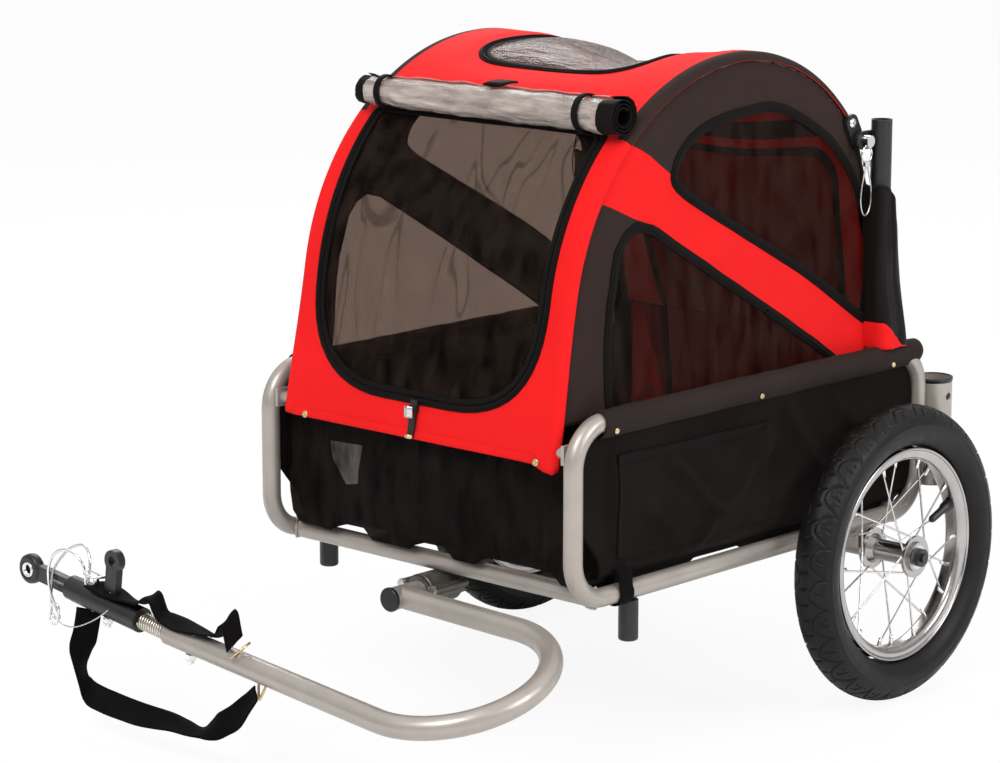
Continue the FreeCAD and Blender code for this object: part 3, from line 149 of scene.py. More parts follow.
world = bpy.data.worlds.new("surround")
bpy.context.scene.world = world
tree = cleared(world)
way = add_node(tree, "ShaderNodeSeparateXYZ", {0: tree.nodes.new("ShaderNodeTexCoord").outputs["Generated"]})
overhead = in_range(tree, way.outputs["Z"], (0.0, 0.8), (SIDE_LIGHT, TOP_LIGHT))
soft = add_node(tree, "ShaderNodeBackground", {"Color": WHITE, "Strength": overhead})
white = add_node(tree, "ShaderNodeBackground", {"Color": WHITE, "Strength": 1.0})
add_node(tree, "ShaderNodeOutputWorld", {"Surface": mixed(tree, looked_at(tree), soft, white)})


def soft_lamp(name, place, aim, size, watts):
    data = bpy.data.lights.new(name, "AREA")
    data.shape = "DISK"
    data.size = size
    data.energy = watts
    lamp = bpy.data.objects.new(name, data)
    lamp.location = place
    lamp.rotation_euler = (Vector(aim) - Vector(place)).to_track_quat("-Z", "Y").to_euler()
    bpy.context.collection.objects.link(lamp)


soft_lamp("key_lamp", (0.6, -2.6, 2.8), (0, -0.2, 0.35), 1.8, 66)
soft_lamp("side_lamp", (3.0, 0.4, 1.9), (0, -0.1, 0.3), 1.6, 52)
soft_lamp("back_lamp", (-2.2, 1.8, 2.4), (0, 0, 0.4), 1.6, 30)
print("studio has a floor, a surround and three lamps")


# %% [markdown]
# ## Finishes
# Each finish starts from one shader with its own colour and roughness. A soft mottle varies the colour, a
# finer one varies the gloss of hard surfaces, and a bump gives weave, grain or creases at their real size.
# Cloth uses the flat cut's own coordinates, in metres, so its threads follow the cut.

# %% Finish helpers
def start_finish(name, colour, rough, metal=0.0):
    finish = bpy.data.materials.new(name)
    tree = cleared(finish)
    shader = add_node(tree, "ShaderNodeBsdfPrincipled",
                      {"Base Color": (*colour, 1), "Roughness": rough, "Metallic": metal})
    add_node(tree, "ShaderNodeOutputMaterial", {"Surface": shader.outputs[0]})
    return finish, tree, shader


def shown(tree, surface):
    """Puts another surface in the place of the plain shader."""
    tree.links.new(surface, tree.nodes["Material Output"].inputs["Surface"])


def mottled(tree, vector, scale, low, high, detail=4.0):
    """Noise of a given size, as a number between low and high."""
    cloud = add_node(tree, "ShaderNodeTexNoise", {"Vector": vector, "Scale": scale, "Detail": detail})
    return in_range(tree, cloud.outputs["Fac"], (0.3, 0.7), (low, high))


def tinted(tree, shader, colour, factor):
    """The colour, made lighter and darker by a factor that varies over the surface."""
    scale = add_node(tree, "ShaderNodeVectorMath", {0: colour, "Scale": factor}, "SCALE")
    tree.links.new(scale.outputs[0], shader.inputs["Base Color"])


def bumped(tree, shader, height, depth, strength=0.6):
    bump = add_node(tree, "ShaderNodeBump", {"Strength": strength, "Distance": depth, "Height": height})
    tree.links.new(bump.outputs[0], shader.inputs["Normal"])


def place_of(tree, kind="Object"):
    """Coordinates for noise: places on the object, or on the flat cut where kind is UV."""
    return tree.nodes.new("ShaderNodeTexCoord").outputs[kind]


def stretched(tree, scale, turn=(0.0, 0.0, 0.0)):
    """Places on the object, drawn out and turned before noise is laid on them."""
    sockets = {"Vector": place_of(tree), "Rotation": turn, "Scale": scale}
    return add_node(tree, "ShaderNodeMapping", sockets).outputs[0]


def weave(tree, pitch):
    """The height of crossing threads, from -1 to 1, in the flat cut's own coordinates."""
    split = add_node(tree, "ShaderNodeSeparateXYZ", {0: place_of(tree, "UV")})
    turns = [worked(tree, "MULTIPLY", split.outputs[axis], 2 * math.pi / pitch) for axis in ("X", "Y")]
    return worked(tree, "MULTIPLY", *[worked(tree, "SINE", turn) for turn in turns])


print("finish helpers ready")

# %% Kinds of finish
def hard_finish(name, colour, rough, metal=0.0, spread=0.12, clouds=30, grain=900, depth=0.00006, gloss=0.08,
                shine=0.5):
    """Paint, plastic, rubber or metal: mottled colour and gloss with a fine grain."""
    finish, tree, shader = start_finish(name, colour, rough, metal)
    shader.inputs["Specular IOR Level"].default_value = shine
    place = place_of(tree)
    tinted(tree, shader, colour, mottled(tree, place, clouds, 1 - spread, 1 + spread))
    rougher = mottled(tree, place, clouds * 4, rough - gloss, rough + gloss)
    tree.links.new(rougher, shader.inputs["Roughness"])
    bumped(tree, shader, mottled(tree, place, grain, 0, 1), depth)
    return finish


def cloth_finish(name, colour, pitch=0.0012, rough=0.72, shine=0.08, spread=0.08, depth=0.00016, through=0.0):
    """Coated woven cloth: crossing threads, a little shine and faint wear. Some light can come through it."""
    finish, tree, shader = start_finish(name, colour, rough)
    shader.inputs["Sheen Weight"].default_value = 0.02
    shader.inputs["Sheen Roughness"].default_value = 0.45
    shader.inputs["Specular IOR Level"].default_value = shine
    if through:
        back = add_node(tree, "ShaderNodeBsdfTranslucent", {"Color": (*colour, 1)})
        shown(tree, mixed(tree, through, shader, back))
    creases = mottled(tree, place_of(tree), 22, 0, 1, 6)
    height = worked(tree, "MULTIPLY_ADD", creases, 6.0, weave(tree, pitch))
    bumped(tree, shader, height, depth, 0.5)
    tinted(tree, shader, colour, mottled(tree, place_of(tree), 9, 1 - spread, 1 + spread))
    return finish


def net_finish(name, colour, cover, tint=(1.0, 0.915, 0.865), pitch=0.0016):
    """Open net: the threads cover a share of it. The rest is see-through, in the brown of its fine yarn."""
    finish, tree, shader = start_finish(name, colour, 0.6)
    shader.inputs["Specular IOR Level"].default_value = 0.04
    clear = add_node(tree, "ShaderNodeBsdfTransparent", {"Color": (*tint, 1)})
    threads = in_range(tree, weave(tree, pitch), (-1, 1), (cover - 0.2, cover + 0.2))
    fold = add_node(tree, "ShaderNodeTexNoise",
                    {"Vector": stretched(tree, (15, 4, 3), (0.5, 0.7, 0.3)), "Scale": 1.0})
    crease = worked(tree, "COMPARE", fold.outputs["Fac"], 0.5, 0.0045)
    share = worked(tree, "MULTIPLY_ADD", crease, 0.13, threads)
    shown(tree, mixed(tree, share, clear, shader))
    # Painted sheen: streaky patches make the threads lighter and darker, for light shimmering on the net.
    sheen_streaks = stretched(tree, (1.0, 1.0, 0.35))
    tinted(tree, shader, colour, mottled(tree, sheen_streaks, 70, 0.2, 2.6, 8))
    return finish


def film_finish(name, colour, cover):
    """Clear soft film: glossy, creased and partly see-through."""
    finish, tree, shader = start_finish(name, colour, 0.24)
    shader.inputs["Specular IOR Level"].default_value = 0.35
    shader.inputs["Coat Weight"].default_value = 0.12
    shader.inputs["Coat Roughness"].default_value = 0.10
    place = stretched(tree, (0.55, 2.6, 2.6))
    bumped(tree, shader, mottled(tree, place, 44, 0, 1, 7), 0.004, 0.8)
    tree.links.new(mottled(tree, place, 18, cover - 0.16, cover + 0.16, 5), shader.inputs["Alpha"])
    tinted(tree, shader, colour, mottled(tree, place, 60, 0.55, 1.2, 7))
    return finish


print("four kinds of finish ready")

# %% The finishes of this trailer
RED = cloth_finish("red_cloth", (0.88, 0.014, 0.015), rough=0.62, shine=0.07, spread=0.04, through=0.18)
# Painted shade: a darker copy of the red cloth, for the red at the rear that lies in shade.
SHADED_RED = cloth_finish("shaded_rear_red_cloth", (0.46, 0.010, 0.010), rough=0.66, shine=0.06, spread=0.22,
                        through=0.15)
CHARCOAL = cloth_finish("charcoal_cloth", (0.027, 0.0165, 0.014), rough=0.74)
BLACK = cloth_finish("black_cloth", (0.0055, 0.0040, 0.0036), rough=0.32, shine=0.085, spread=0.2,
                     depth=0.0004)
TUB_CLOTH = cloth_finish("tub_cloth", (0.0090, 0.0066, 0.0060), rough=0.55, shine=0.02, spread=0.35,
                         depth=0.0006)
SLEEVE = cloth_finish("rail_cloth", (0.022, 0.0145, 0.0125), rough=0.66, spread=0.15)
INNER_BLACK = cloth_finish("black_inner_face", (0.006, 0.0045, 0.004), rough=0.8, shine=0.03)
BINDING = cloth_finish("black_binding", (0.0055, 0.0042, 0.0040), pitch=0.0018, rough=0.6, shine=0.05)
WEBBING = cloth_finish("strap_webbing", (0.0052, 0.0045, 0.0045), pitch=0.0022, rough=0.58, shine=0.012,
                       depth=0.0004)
NET = net_finish("cabin_net", (0.011, 0.0075, 0.0058), 0.40)
TUB_NET = net_finish("tub_net", (0.0042, 0.0030, 0.0026), 0.93)
# Painted sheen: a pale copy of the front net, for the patch where light falls on it.
SHEEN_NET = net_finish("lit_net", (0.048, 0.042, 0.038), 0.90)
FILM = film_finish("clear_film", (0.58, 0.50, 0.45), 0.50)
ROOF_FILM = film_finish("roof_film", (0.14, 0.072, 0.052), 0.60)
SILVER = hard_finish("silver_paint", (0.385, 0.348, 0.315), 0.36, 0.45, spread=0.06, depth=0.00003)
STEEL = hard_finish("zinc_steel", (0.60, 0.60, 0.60), 0.28, 0.95, spread=0.08)
TIN = hard_finish("tinned_wire", (0.66, 0.61, 0.54), 0.26, 0.9, spread=0.1)
ALLOY = hard_finish("polished_alloy", (0.42, 0.405, 0.40), 0.2, 1.0, spread=0.06, clouds=50, gloss=0.07)
CHROME = hard_finish("bright_chrome", (0.80, 0.79, 0.78), 0.08, 1.0, spread=0.03, gloss=0.03)
BRASS = hard_finish("plated_brass", (0.62, 0.47, 0.26), 0.25, 0.95)
PLASTIC = hard_finish("black_plastic", (0.0075, 0.007, 0.007), 0.36, spread=0.2, grain=1400, depth=0.0001)
COATED = hard_finish("black_coating", (0.010, 0.0095, 0.0092), 0.36, spread=0.15, grain=1500, depth=0.00012)
SADDLE = hard_finish("dark_steel", (0.105, 0.098, 0.088), 0.30, 0.6, spread=0.2)
RUBBER = hard_finish("tyre_rubber", (0.0070, 0.0064, 0.0060), 0.40, spread=0.25, clouds=22, grain=1100,
                     depth=0.00018, shine=0.20)
print("finishes ready for cloth, net, film, paint, metal, plastic and rubber")

# %% Finishes on the CAD pieces that stay in view
CAD_FINISHES = {
    "loop_left": SILVER, "loop_right": SILVER, "cross_rails": SILVER, "handle_sockets": SILVER,
    "bow_tabs": SILVER, "tow_arm": SILVER, "arm_cap": PLASTIC, "axle_tube": SILVER, "axle_brackets": SILVER,
    "axle_pins": COATED, "front_feet": PLASTIC, "frame_bolts": STEEL, "post_hinges": PLASTIC,
    "receiver_saddle": SADDLE, "receiver_keeper": SADDLE, "receiver_bolts": STEEL, "button_left": PLASTIC,
    "button_right": PLASTIC, "spokes_left": CHROME, "spokes_right": CHROME, "hub_left": ALLOY,
    "hub_right": ALLOY, "bearings_left": STEEL, "bearings_right": STEEL, "bow_left": COATED,
    "bow_right": COATED, "bow_lugs": COATED, "rear_post_left": COATED, "rear_post_right": COATED,
    "lock_pin_left": CHROME, "lock_pin_right": CHROME, "hitch_spring": TIN, "hitch_housing": PLASTIC,
    "hitch_fork": PLASTIC, "hitch_pin": CHROME, "zip_slider": PLASTIC,
}
for node, finish in CAD_FINISHES.items():
    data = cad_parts[node].data
    data.materials.clear()
    data.materials.append(finish)
print("finished", len(CAD_FINISHES), "CAD pieces")


# %% [markdown]
# ## Making pieces
# Four helpers make nearly everything. One makes a piece from points and faces. One cuts cloth: outlines are
# drawn flat, the area is filled with small triangles and each point is then laid on its curved place. One
# runs a tape along a line, with a profile across it. One turns a round piece from its half section.

# %% Piece helpers
def make_piece(name, points, faces, finishes, flats=None, face_finish=None, smooth=True):
    mesh = bpy.data.meshes.new(name)
    mesh.from_pydata([tuple(p) for p in points], [], [tuple(f) for f in faces])
    for finish in finishes if isinstance(finishes, (list, tuple)) else [finishes]:
        mesh.materials.append(finish)
    if flats:
        layer = mesh.uv_layers.new(name="flat")
        for loop in mesh.loops:
            layer.data[loop.index].uv = flats[loop.vertex_index]
    if face_finish:
        mesh.polygons.foreach_set("material_index", face_finish)
    mesh.polygons.foreach_set("use_smooth", [smooth] * len(mesh.polygons))
    piece = bpy.data.objects.new(name, mesh)
    bpy.context.collection.objects.link(piece)
    return piece


def grid_faces(rows, columns, row_loop=False, column_loop=False, flipped=False):
    """Faces between rows of points. A loop joins the last row or column to the first."""
    faces = []
    for i in range(rows if row_loop else rows - 1):
        here, there = i * columns, (i + 1) % rows * columns
        for k in range(columns if column_loop else columns - 1):
            n = (k + 1) % columns
            corners = (here + k, here + n, there + n, there + k)
            faces.append((corners[0], corners[3], corners[2], corners[1]) if flipped else corners)
    return faces


def settle(piece):
    """Applies a piece's modifiers to its mesh."""
    bpy.context.view_layer.update()
    graph = bpy.context.evaluated_depsgraph_get()
    old = piece.data
    piece.data = bpy.data.meshes.new_from_object(piece.evaluated_get(graph))
    piece.data.name = piece.name
    piece.modifiers.clear()
    bpy.data.meshes.remove(old)
    return piece


def thicken(piece, thickness, offset=0.0):
    """Gives a sheet its thickness."""
    skin = piece.modifiers.new("thickness", "SOLIDIFY")
    skin.thickness = thickness
    skin.offset = offset
    skin.use_even_offset = False
    return settle(piece)


def as_one(name, pieces):
    """Joins small pieces of one finish into one."""
    bpy.ops.object.select_all(action="DESELECT")
    for piece in pieces:
        piece.select_set(True)
    bpy.context.view_layer.objects.active = pieces[0]
    bpy.ops.object.join()
    pieces[0].name = name
    pieces[0].data.name = name
    return pieces[0]


print("piece helpers ready")

# %% Cloth cutting
def inside(point, outline):
    """Whether a flat point lies inside a closed outline."""
    x, y = point
    hit = False
    for (x0, y0), (x1, y1) in zip(outline, outline[1:] + outline[:1]):
        if (y0 > y) != (y1 > y) and x < (x1 - x0) * (y - y0) / (y1 - y0) + x0:
            hit = not hit
    return hit


def closely(outline, step, closed=True):
    """The same line with points no further apart than step."""
    result = []
    ends = outline[1:] + (outline[:1] if closed else [])
    for (x0, y0), (x1, y1) in zip(outline, ends):
        count = max(1, math.ceil(math.hypot(x1 - x0, y1 - y0) / step))
        result += [(x0 + (x1 - x0) * i / count, y0 + (y1 - y0) * i / count) for i in range(count)]
    return result if closed else result + [outline[-1]]


def rounded(points, radii, steps=8):
    """A closed flat outline with rounded corners."""
    result = []
    count = len(points)
    for i, (x, y) in enumerate(points):
        corner = Vector((x, y))
        into = (Vector(points[i - 1]) - corner)
        away = (Vector(points[(i + 1) % count]) - corner)
        radius = radii[i] if isinstance(radii, (list, tuple)) else radii
        half = into.angle(away) / 2
        reach = min(radius / math.tan(half), 0.49 * into.length, 0.49 * away.length)
        into.normalize()
        away.normalize()
        start, end = corner + into * reach, corner + away * reach
        for k in range(steps + 1):
            t = k / steps
            point = start * (1 - t) ** 2 + corner * 2 * t * (1 - t) + end * t ** 2
            result.append((point.x, point.y))
    return result


TRIANGLE_HEIGHT, CLEAR_OF_EDGE = 0.87, 0.55


def filled(*outlines):
    """The kind of a cloth with one finish, which fills all the outlines."""
    return lambda point: 0 if any(inside(point, outline) for outline in outlines) else None


def cut_cloth(name, outlines, step, kind, lay, finishes, thickness=0.0012):
    """Cloth filled with small triangles, laid in place by the function lay.

    kind gives a flat point's finish number, or None where there is no cloth.
    """
    dense = [closely(outline, step) for outline in outlines]
    points, edges = [], []
    for outline in dense:
        first = len(points)
        points += [Vector(p) for p in outline]
        edges += [(first + i, first + (i + 1) % len(outline)) for i in range(len(outline))]
    near = {}
    for p in points:
        near.setdefault((round(p.x / step), round(p.y / step)), []).append(p)
    low = [min(p[i] for p in points) for i in (0, 1)]
    high = [max(p[i] for p in points) for i in (0, 1)]
    row_step = step * TRIANGLE_HEIGHT
    rows = int((high[1] - low[1]) / row_step) + 1
    for row in range(rows):
        y = low[1] + row * row_step
        x = low[0] + (step / 2 if row % 2 else 0)
        while x < high[0]:
            cell = (round(x / step), round(y / step))
            cells = [(cell[0] + i, cell[1] + j) for i in (-1, 0, 1) for j in (-1, 0, 1)]
            close = [q for c in cells for q in near.get(c, [])]
            if all((q.x - x) ** 2 + (q.y - y) ** 2 > (CLEAR_OF_EDGE * step) ** 2 for q in close):
                points.append(Vector((x, y)))
            x += step
    flat_points, flat_faces = delaunay_2d_cdt(points, edges, [], 0, 1e-6)[0:3:2]
    kept, numbers, used = [], [], {}
    for face in flat_faces:
        center = sum((flat_points[i] for i in face), Vector((0, 0))) / 3
        number = kind((center.x, center.y))
        if number is None:
            continue
        kept.append([used.setdefault(i, len(used)) for i in face])
        numbers.append(number)
    flats = [None] * len(used)
    for i, j in used.items():
        flats[j] = (flat_points[i].x, flat_points[i].y)
    piece = make_piece(name, [lay(*f) for f in flats], kept, finishes, flats, numbers)
    if thickness:
        thicken(piece, thickness)
    return piece


def flat_area(outline):
    """The area inside a closed flat outline."""
    pairs = zip(outline, outline[1:] + outline[:1])
    return abs(sum(x0 * y1 - x1 * y0 for (x0, y0), (x1, y1) in pairs)) / 2


print("cloth cutter ready")

# %% Tapes, turned pieces and lines
def run_tape(name, line, ups, profile, finish, closed=False):
    """A tape along a line. profile holds (across, height) pairs and ups the surface's outward ways."""
    count, wide = len(line), len(profile)
    points, flats = [], []
    run = 0.0
    for i in range(count):
        before = line[i - 1] if closed or i else line[i]
        after = line[(i + 1) % count] if closed or i < count - 1 else line[i]
        way = (after - before).normalized()
        up = (ups[i] - way * ups[i].dot(way)).normalized()
        side = way.cross(up)
        if i:
            run += (line[i] - line[i - 1]).length
        for across, height in profile:
            points.append(line[i] + side * across + up * height)
            flats.append((across, run))
    faces = grid_faces(count, wide, closed, True, True)
    if not closed:
        faces.append(tuple(range(wide)))
        faces.append(tuple(reversed(range((count - 1) * wide, count * wide))))
    return make_piece(name, points, faces, finish, flats)


def flat_profile(width, height, ridge=0.0):
    """A tape's cross-section, with rounded edges and, where one is asked for, a ridge down its middle."""
    half = width / 2
    top = [(-half, 0.0), (-half * 0.96, height * 0.7), (-half * 0.8, height)]
    if ridge:
        top += [(-half * 0.22, height), (-half * 0.12, height + ridge), (half * 0.12, height + ridge),
                (half * 0.22, height)]
    top += [(half * 0.8, height), (half * 0.96, height * 0.7), (half, 0.0)]
    return top + [(half * 0.5, -height * 0.4), (-half * 0.5, -height * 0.4)]


def turned(name, profile, finish, steps=96, axis="X"):
    """A turned piece: profile holds (along the axis, radius) pairs."""
    points = []
    for i in range(steps):
        a = 2 * math.pi * i / steps
        for along, radius in profile:
            c, s = radius * math.cos(a), radius * math.sin(a)
            points.append({"X": (along, c, s), "Y": (c, along, s), "Z": (c, s, along)}[axis])
    return make_piece(name, points, grid_faces(steps, len(profile), True, True), finish)


def smooth_line(points, per_run=6, closed=False):
    """Points on a smooth line through the given ones."""
    count = len(points)
    result = []
    runs = count if closed else count - 1
    for i in range(runs):
        p0 = points[(i - 1) % count] if closed or i else points[i]
        p1, p2 = points[i], points[(i + 1) % count]
        p3 = points[(i + 2) % count] if closed or i + 2 < count else p2
        for k in range(per_run):
            t = k / per_run
            result.append(0.5 * ((2 * p1) + (p2 - p0) * t + (2 * p0 - 5 * p1 + 4 * p2 - p3) * t * t
                                 + (3 * p1 - p0 - 3 * p2 + p3) * t ** 3))
    return result if closed else result + [points[-1]]


def round_bar(name, line, radius, finish, sides=10, closed=False):
    """A round wire or cord along a line."""
    angles = [2 * math.pi * k / sides for k in range(sides)]
    ring = [(radius * math.cos(a), radius * math.sin(a)) for a in angles]
    ups = []
    up = Vector((0.31, 0.17, 0.94))
    for i in range(len(line)):
        before = line[i - 1] if closed or i else line[i]
        after = line[(i + 1) % len(line)] if closed or i < len(line) - 1 else line[i]
        way = (after - before).normalized()
        up = (up - way * up.dot(way)).normalized()
        ups.append(up)
    return run_tape(name, line, ups, ring, finish, closed)


def ripple(point, size, seed=0.0):
    """Smooth noise from -1 to 1 whose waves are about size long."""
    third = point[2] / size if len(point) > 2 else seed
    return noise.noise(Vector((point[0] / size + seed, point[1] / size - seed, third)))


def spline_cable(name, data_name, route, radius, roundness=4):
    """A cord: one smooth spline through its route."""
    data = bpy.data.curves.new(data_name, "CURVE")
    data.dimensions = "3D"
    data.bevel_depth = radius
    data.bevel_resolution = roundness
    spline = data.splines.new("NURBS")
    spline.points.add(len(route) - 1)
    for point, spot in zip(spline.points, route):
        point.co = (*spot, 1)
    spline.order_u = 3
    spline.use_endpoint_u = True
    data.materials.append(STEEL)
    cable = bpy.data.objects.new(name, data)
    bpy.context.collection.objects.link(cable)
    return cable


print("tape and line helpers ready")

# %% [markdown]
# ## Wheels
# The tyre is a fat moulded ring with leaf-shaped grooves on its shoulders. Its grooves are pressed into a
# fine grid of points, because a bump would leave the outline smooth. The rim is turned from a hollow section
# with a rolled lip, and a plated nipple sits where each spoke meets it.

# %% Tyres
WHEEL_R, AXLE_Z = 0.150, 0.150
WHEEL_X = sum(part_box("rim_left")[i][0] for i in (0, 1)) / 2
SECTION = 0.0225
CROWN = WHEEL_R - SECTION
PETALS, GROOVE, BEAD_RIB = 28, 0.0018, 0.0007


def groove_depth(turn, across):
    """How deep the tread is cut, from 0 to 1. turn counts petals round the tyre, across runs from -1 to 1."""
    side = abs(across)
    if side > 1.1:
        return 0.0
    along = (turn + (0.5 if across > 0 else 0.0) + 0.10 * math.sin(3.0 * side)) % 1.0
    # The outline of a petal, then a slit down its middle, four small pits in it and a cut across the crown.
    petal = 1.02 - 0.84 * abs(math.sin(math.pi * along)) ** 0.72
    cut = max(0.0, 1 - abs(side - petal) / (0.040 + 0.075 * abs(math.cos(math.pi * along)) ** 3))
    if 0.45 < side < 0.86:
        cut = max(cut, 0.9 - abs(along - 0.5 - 0.16 * (side - 0.6)) / 0.035)
    for spot, place in ((0.30, 0.80), (0.70, 0.82), (0.40, 0.48), (0.64, 0.52)):
        cut = max(cut, 1.2 - math.hypot((along - spot) * 0.55, (side - place)) / 0.028)
    if side < 0.16:
        cut = max(cut, 1 - abs((turn * 2) % 1.0 - 0.5 - 0.3 * across) / 0.09)
    return min(1.0, 1.7 * max(cut, 0.0))


def make_tyre(name, sign):
    """Rows of points round the wheel, each running over the tyre's section from bead to bead."""
    around, over = 900, 84
    points = []
    for i in range(around):
        a = 2 * math.pi * i / around
        for k in range(over):
            b = math.radians(-60 + 300 * k / (over - 1))
            across = (math.degrees(b) - 90) / 62
            radius = SECTION * (1.0 - 0.06 * max(0, abs(across) - 1))
            radius -= GROOVE * groove_depth(PETALS * i / around, across)
            if abs(abs(across) - 1.24) < 0.035:
                radius += BEAD_RIB
            out = CROWN + radius * math.sin(b)
            x = sign * WHEEL_X + radius * math.cos(b)
            points.append((x, out * math.cos(a), AXLE_Z + out * math.sin(a)))
    return make_piece(name, points, grid_faces(around, over, True, True), RUBBER)


RIM_SECTION = [(-12.4, 108.2), (-13.3, 106.9), (-12.6, 105.4), (-11.2, 104.6), (-10.8, 101.0), (-9.2, 97.4),
               (-5.6, 95.3), (0, 94.8), (5.6, 95.3), (9.2, 97.4), (10.8, 101.0), (11.2, 104.6), (12.6, 105.4),
               (13.3, 106.9), (12.4, 108.2), (11.2, 107.6), (9.6, 103.4), (8.4, 101.4), (0, 100.8),
               (-8.4, 101.4), (-9.6, 103.4), (-11.2, 107.6)]
for side, sign in SIDES:
    tyre = make_tyre("tread_tyre_" + side, sign)
    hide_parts("tyre_" + side)
    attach(tyre, "wheel_" + side)
    section = smooth_line([Vector((x / 1000, r / 1000, 0)) for x, r in RIM_SECTION], 4, True)
    rim = turned("rolled_rim_" + side, [(p.x, p.y) for p in section], ALLOY, 180)
    rim.data.transform(Matrix.Translation((sign * WHEEL_X, 0, AXLE_Z)))
    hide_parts("rim_" + side)
    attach(rim, "wheel_" + side)
print("tyre points", len(tyre.data.vertices), "rim points", len(rim.data.vertices))

# %% Nipples and valves
ROW_SPOKES, ROW_X, VALVE_TURN = 10, 0.00336, math.radians(21)
NIPPLE = [(0.0865, 0.0), (0.0865, 0.0016), (0.0900, 0.0019), (0.0935, 0.0024), (0.0965, 0.0026),
          (0.0965, 0.0)]
VALVE = [(0.062, 0.0), (0.062, 0.0022), (0.065, 0.0038), (0.082, 0.0040), (0.087, 0.0056), (0.0955, 0.0060),
         (0.0955, 0.0)]
upright = Matrix.Rotation(math.radians(90), 4, "Z")
for side, sign in SIDES:
    small = []
    for row, shift in ((1, 0.0), (-1, 0.5)):
        for i in range(ROW_SPOKES):
            nipple = turned("nipple", NIPPLE, CHROME, 10)
            nipple.data.transform(Matrix.Rotation(2 * math.pi * (i + shift) / ROW_SPOKES, 4, "X") @ upright)
            nipple.data.transform(Matrix.Translation((row * ROW_X, 0, 0)))
            small.append(nipple)
    if sign < 0:
        for piece in small:
            piece.data.transform(Matrix.Rotation(math.pi, 4, "Z"))
    valve = turned("valve", VALVE, PLASTIC, 16)
    valve.data.transform(Matrix.Rotation(VALVE_TURN, 4, "X") @ upright)
    nipples = as_one("spoke_nipples_" + side, small)
    valve.name = "valve_stem_" + side
    for piece in (nipples, valve):
        piece.data.transform(Matrix.Translation((sign * WHEEL_X, 0, AXLE_Z)))
        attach(piece, "wheel_" + side)
print("each wheel has", 2 * ROW_SPOKES, "nipples and a valve")

# %% [markdown]
# ## The canopy's shape
# Two bows carry the cloth. Each has a sloping front leg, a long arc over the door and a shorter one down to
# the rear. One function walks along that line and gives the point and the outward way at any distance from
# the hem. Another lays flat cloth on it: it rolls over each bow's tube and sags between the two.

# %% Arch line and cloth surface
ARCH_TOP = Vector((0, -0.15869, 0.6485))
FRONT_R, REAR_R = 0.24521, 0.2162
FRONT_TURN, REAR_TURN = math.radians(79.7), math.radians(50.5)
BOW_X, BOW_ROLL = 0.1682, 0.0082
HEM_Z = 0.298
LEG_WAY = Vector((0, math.cos(FRONT_TURN), math.sin(FRONT_TURN)))
LEG_OUT = Vector((0, -math.sin(FRONT_TURN), math.cos(FRONT_TURN)))
LEG_TOP = ARCH_TOP + LEG_OUT * FRONT_R - Vector((0, 0, FRONT_R))
LEG = (LEG_TOP.z - HEM_Z) / math.sin(FRONT_TURN)
FRONT_ARC = FRONT_R * FRONT_TURN
REAR_ARC = REAR_R * REAR_TURN
CLOTH_LENGTH = LEG + FRONT_ARC + REAR_ARC


def arch(run):
    """The bow's line at a distance from the hem: its point and its outward way."""
    if run < LEG:
        return LEG_TOP - LEG_WAY * (LEG - run), LEG_OUT
    if run < LEG + FRONT_ARC:
        a = FRONT_TURN - (run - LEG) / FRONT_R
        out = Vector((0, -math.sin(a), math.cos(a)))
        return ARCH_TOP - Vector((0, 0, FRONT_R)) + out * FRONT_R, out
    a = (run - LEG - FRONT_ARC) / REAR_R
    out = Vector((0, math.sin(a), math.cos(a)))
    return ARCH_TOP - Vector((0, 0, REAR_R)) + out * REAR_R, out


def share_of(value):
    """The value kept between 0 and 1."""
    return min(1.0, max(0.0, value))


def ease(value, low, high):
    """Rises smoothly from 0 at low to 1 at high."""
    t = share_of((value - low) / (high - low))
    return t * t * (3 - 2 * t)


def roof_sag(x, run):
    """How far the cloth hangs below the bows."""
    start, crown = LEG + FRONT_R * math.radians(48), LEG + FRONT_ARC
    depth = 0.025 * ease(run, start, crown) * (1 - 0.45 * ease(run, crown + 0.06, CLOTH_LENGTH))
    slack = 0.015 * ease(run, crown - 0.04, crown + 0.03) * ease(x, -0.03, 0.05)
    slack *= (1 - ease(run, crown + 0.07, CLOTH_LENGTH - 0.02)) * max(0.0, 1 - (x / 0.15) ** 2) ** 0.7
    return depth * max(0.0, 1 - (x / 0.124) ** 2) ** 1.2 + slack


def hem_flare(z):
    """How much wider the canopy's cloth is at its hem than on the bows."""
    return 0.0038 * (1 - ease(z, 0.30, 0.43))


def on_canopy(across, run, lift=0.0):
    """Lays a flat point of the canopy's cloth on the bows."""
    base, out = arch(run)
    side = abs(across)
    if side > BOW_X:
        a = min((side - BOW_X) / BOW_ROLL, 1.75)
        x = BOW_X + hem_flare(base.z) + BOW_ROLL * math.sin(a)
        return Vector((math.copysign(x, across), 0, 0)) + base + out * (BOW_ROLL * math.cos(a))
    wave = 0.0011 * ripple((across, run), 0.07) * ease(BOW_X - side, 0.0, 0.04)
    place = base + out * (BOW_ROLL + wave + lift) - Vector((0, 0, roof_sag(across, run)))
    place.x = across * (1 + hem_flare(base.z) / BOW_X)
    return place


def canopy_up(across, run):
    """The cloth's outward way, from four points close by."""
    e = 0.002
    du = on_canopy(across + e, run) - on_canopy(across - e, run)
    dv = on_canopy(across, run + e) - on_canopy(across, run - e)
    return du.cross(dv).normalized()


def run_at(z):
    """Distance from the hem to a height on the front."""
    if z < LEG_TOP.z:
        return (z - HEM_Z) / math.sin(FRONT_TURN)
    return LEG + FRONT_R * (FRONT_TURN - math.acos((z - ARCH_TOP.z + FRONT_R) / (FRONT_R + BOW_ROLL)))


CLOTH_HALF = BOW_X + BOW_ROLL * 1.5
DOOR_LOW, DOOR_TOP = run_at(0.336), run_at(0.594)
ROOF_FRONT, ROOF_REAR = LEG + FRONT_ARC - 0.087, LEG + FRONT_ARC + 0.074


def four_sides(half, low, high):
    """The corners of an upright rectangle, the same to both sides of the middle."""
    return [(-half, low), (half, low), (half, high), (-half, high)]


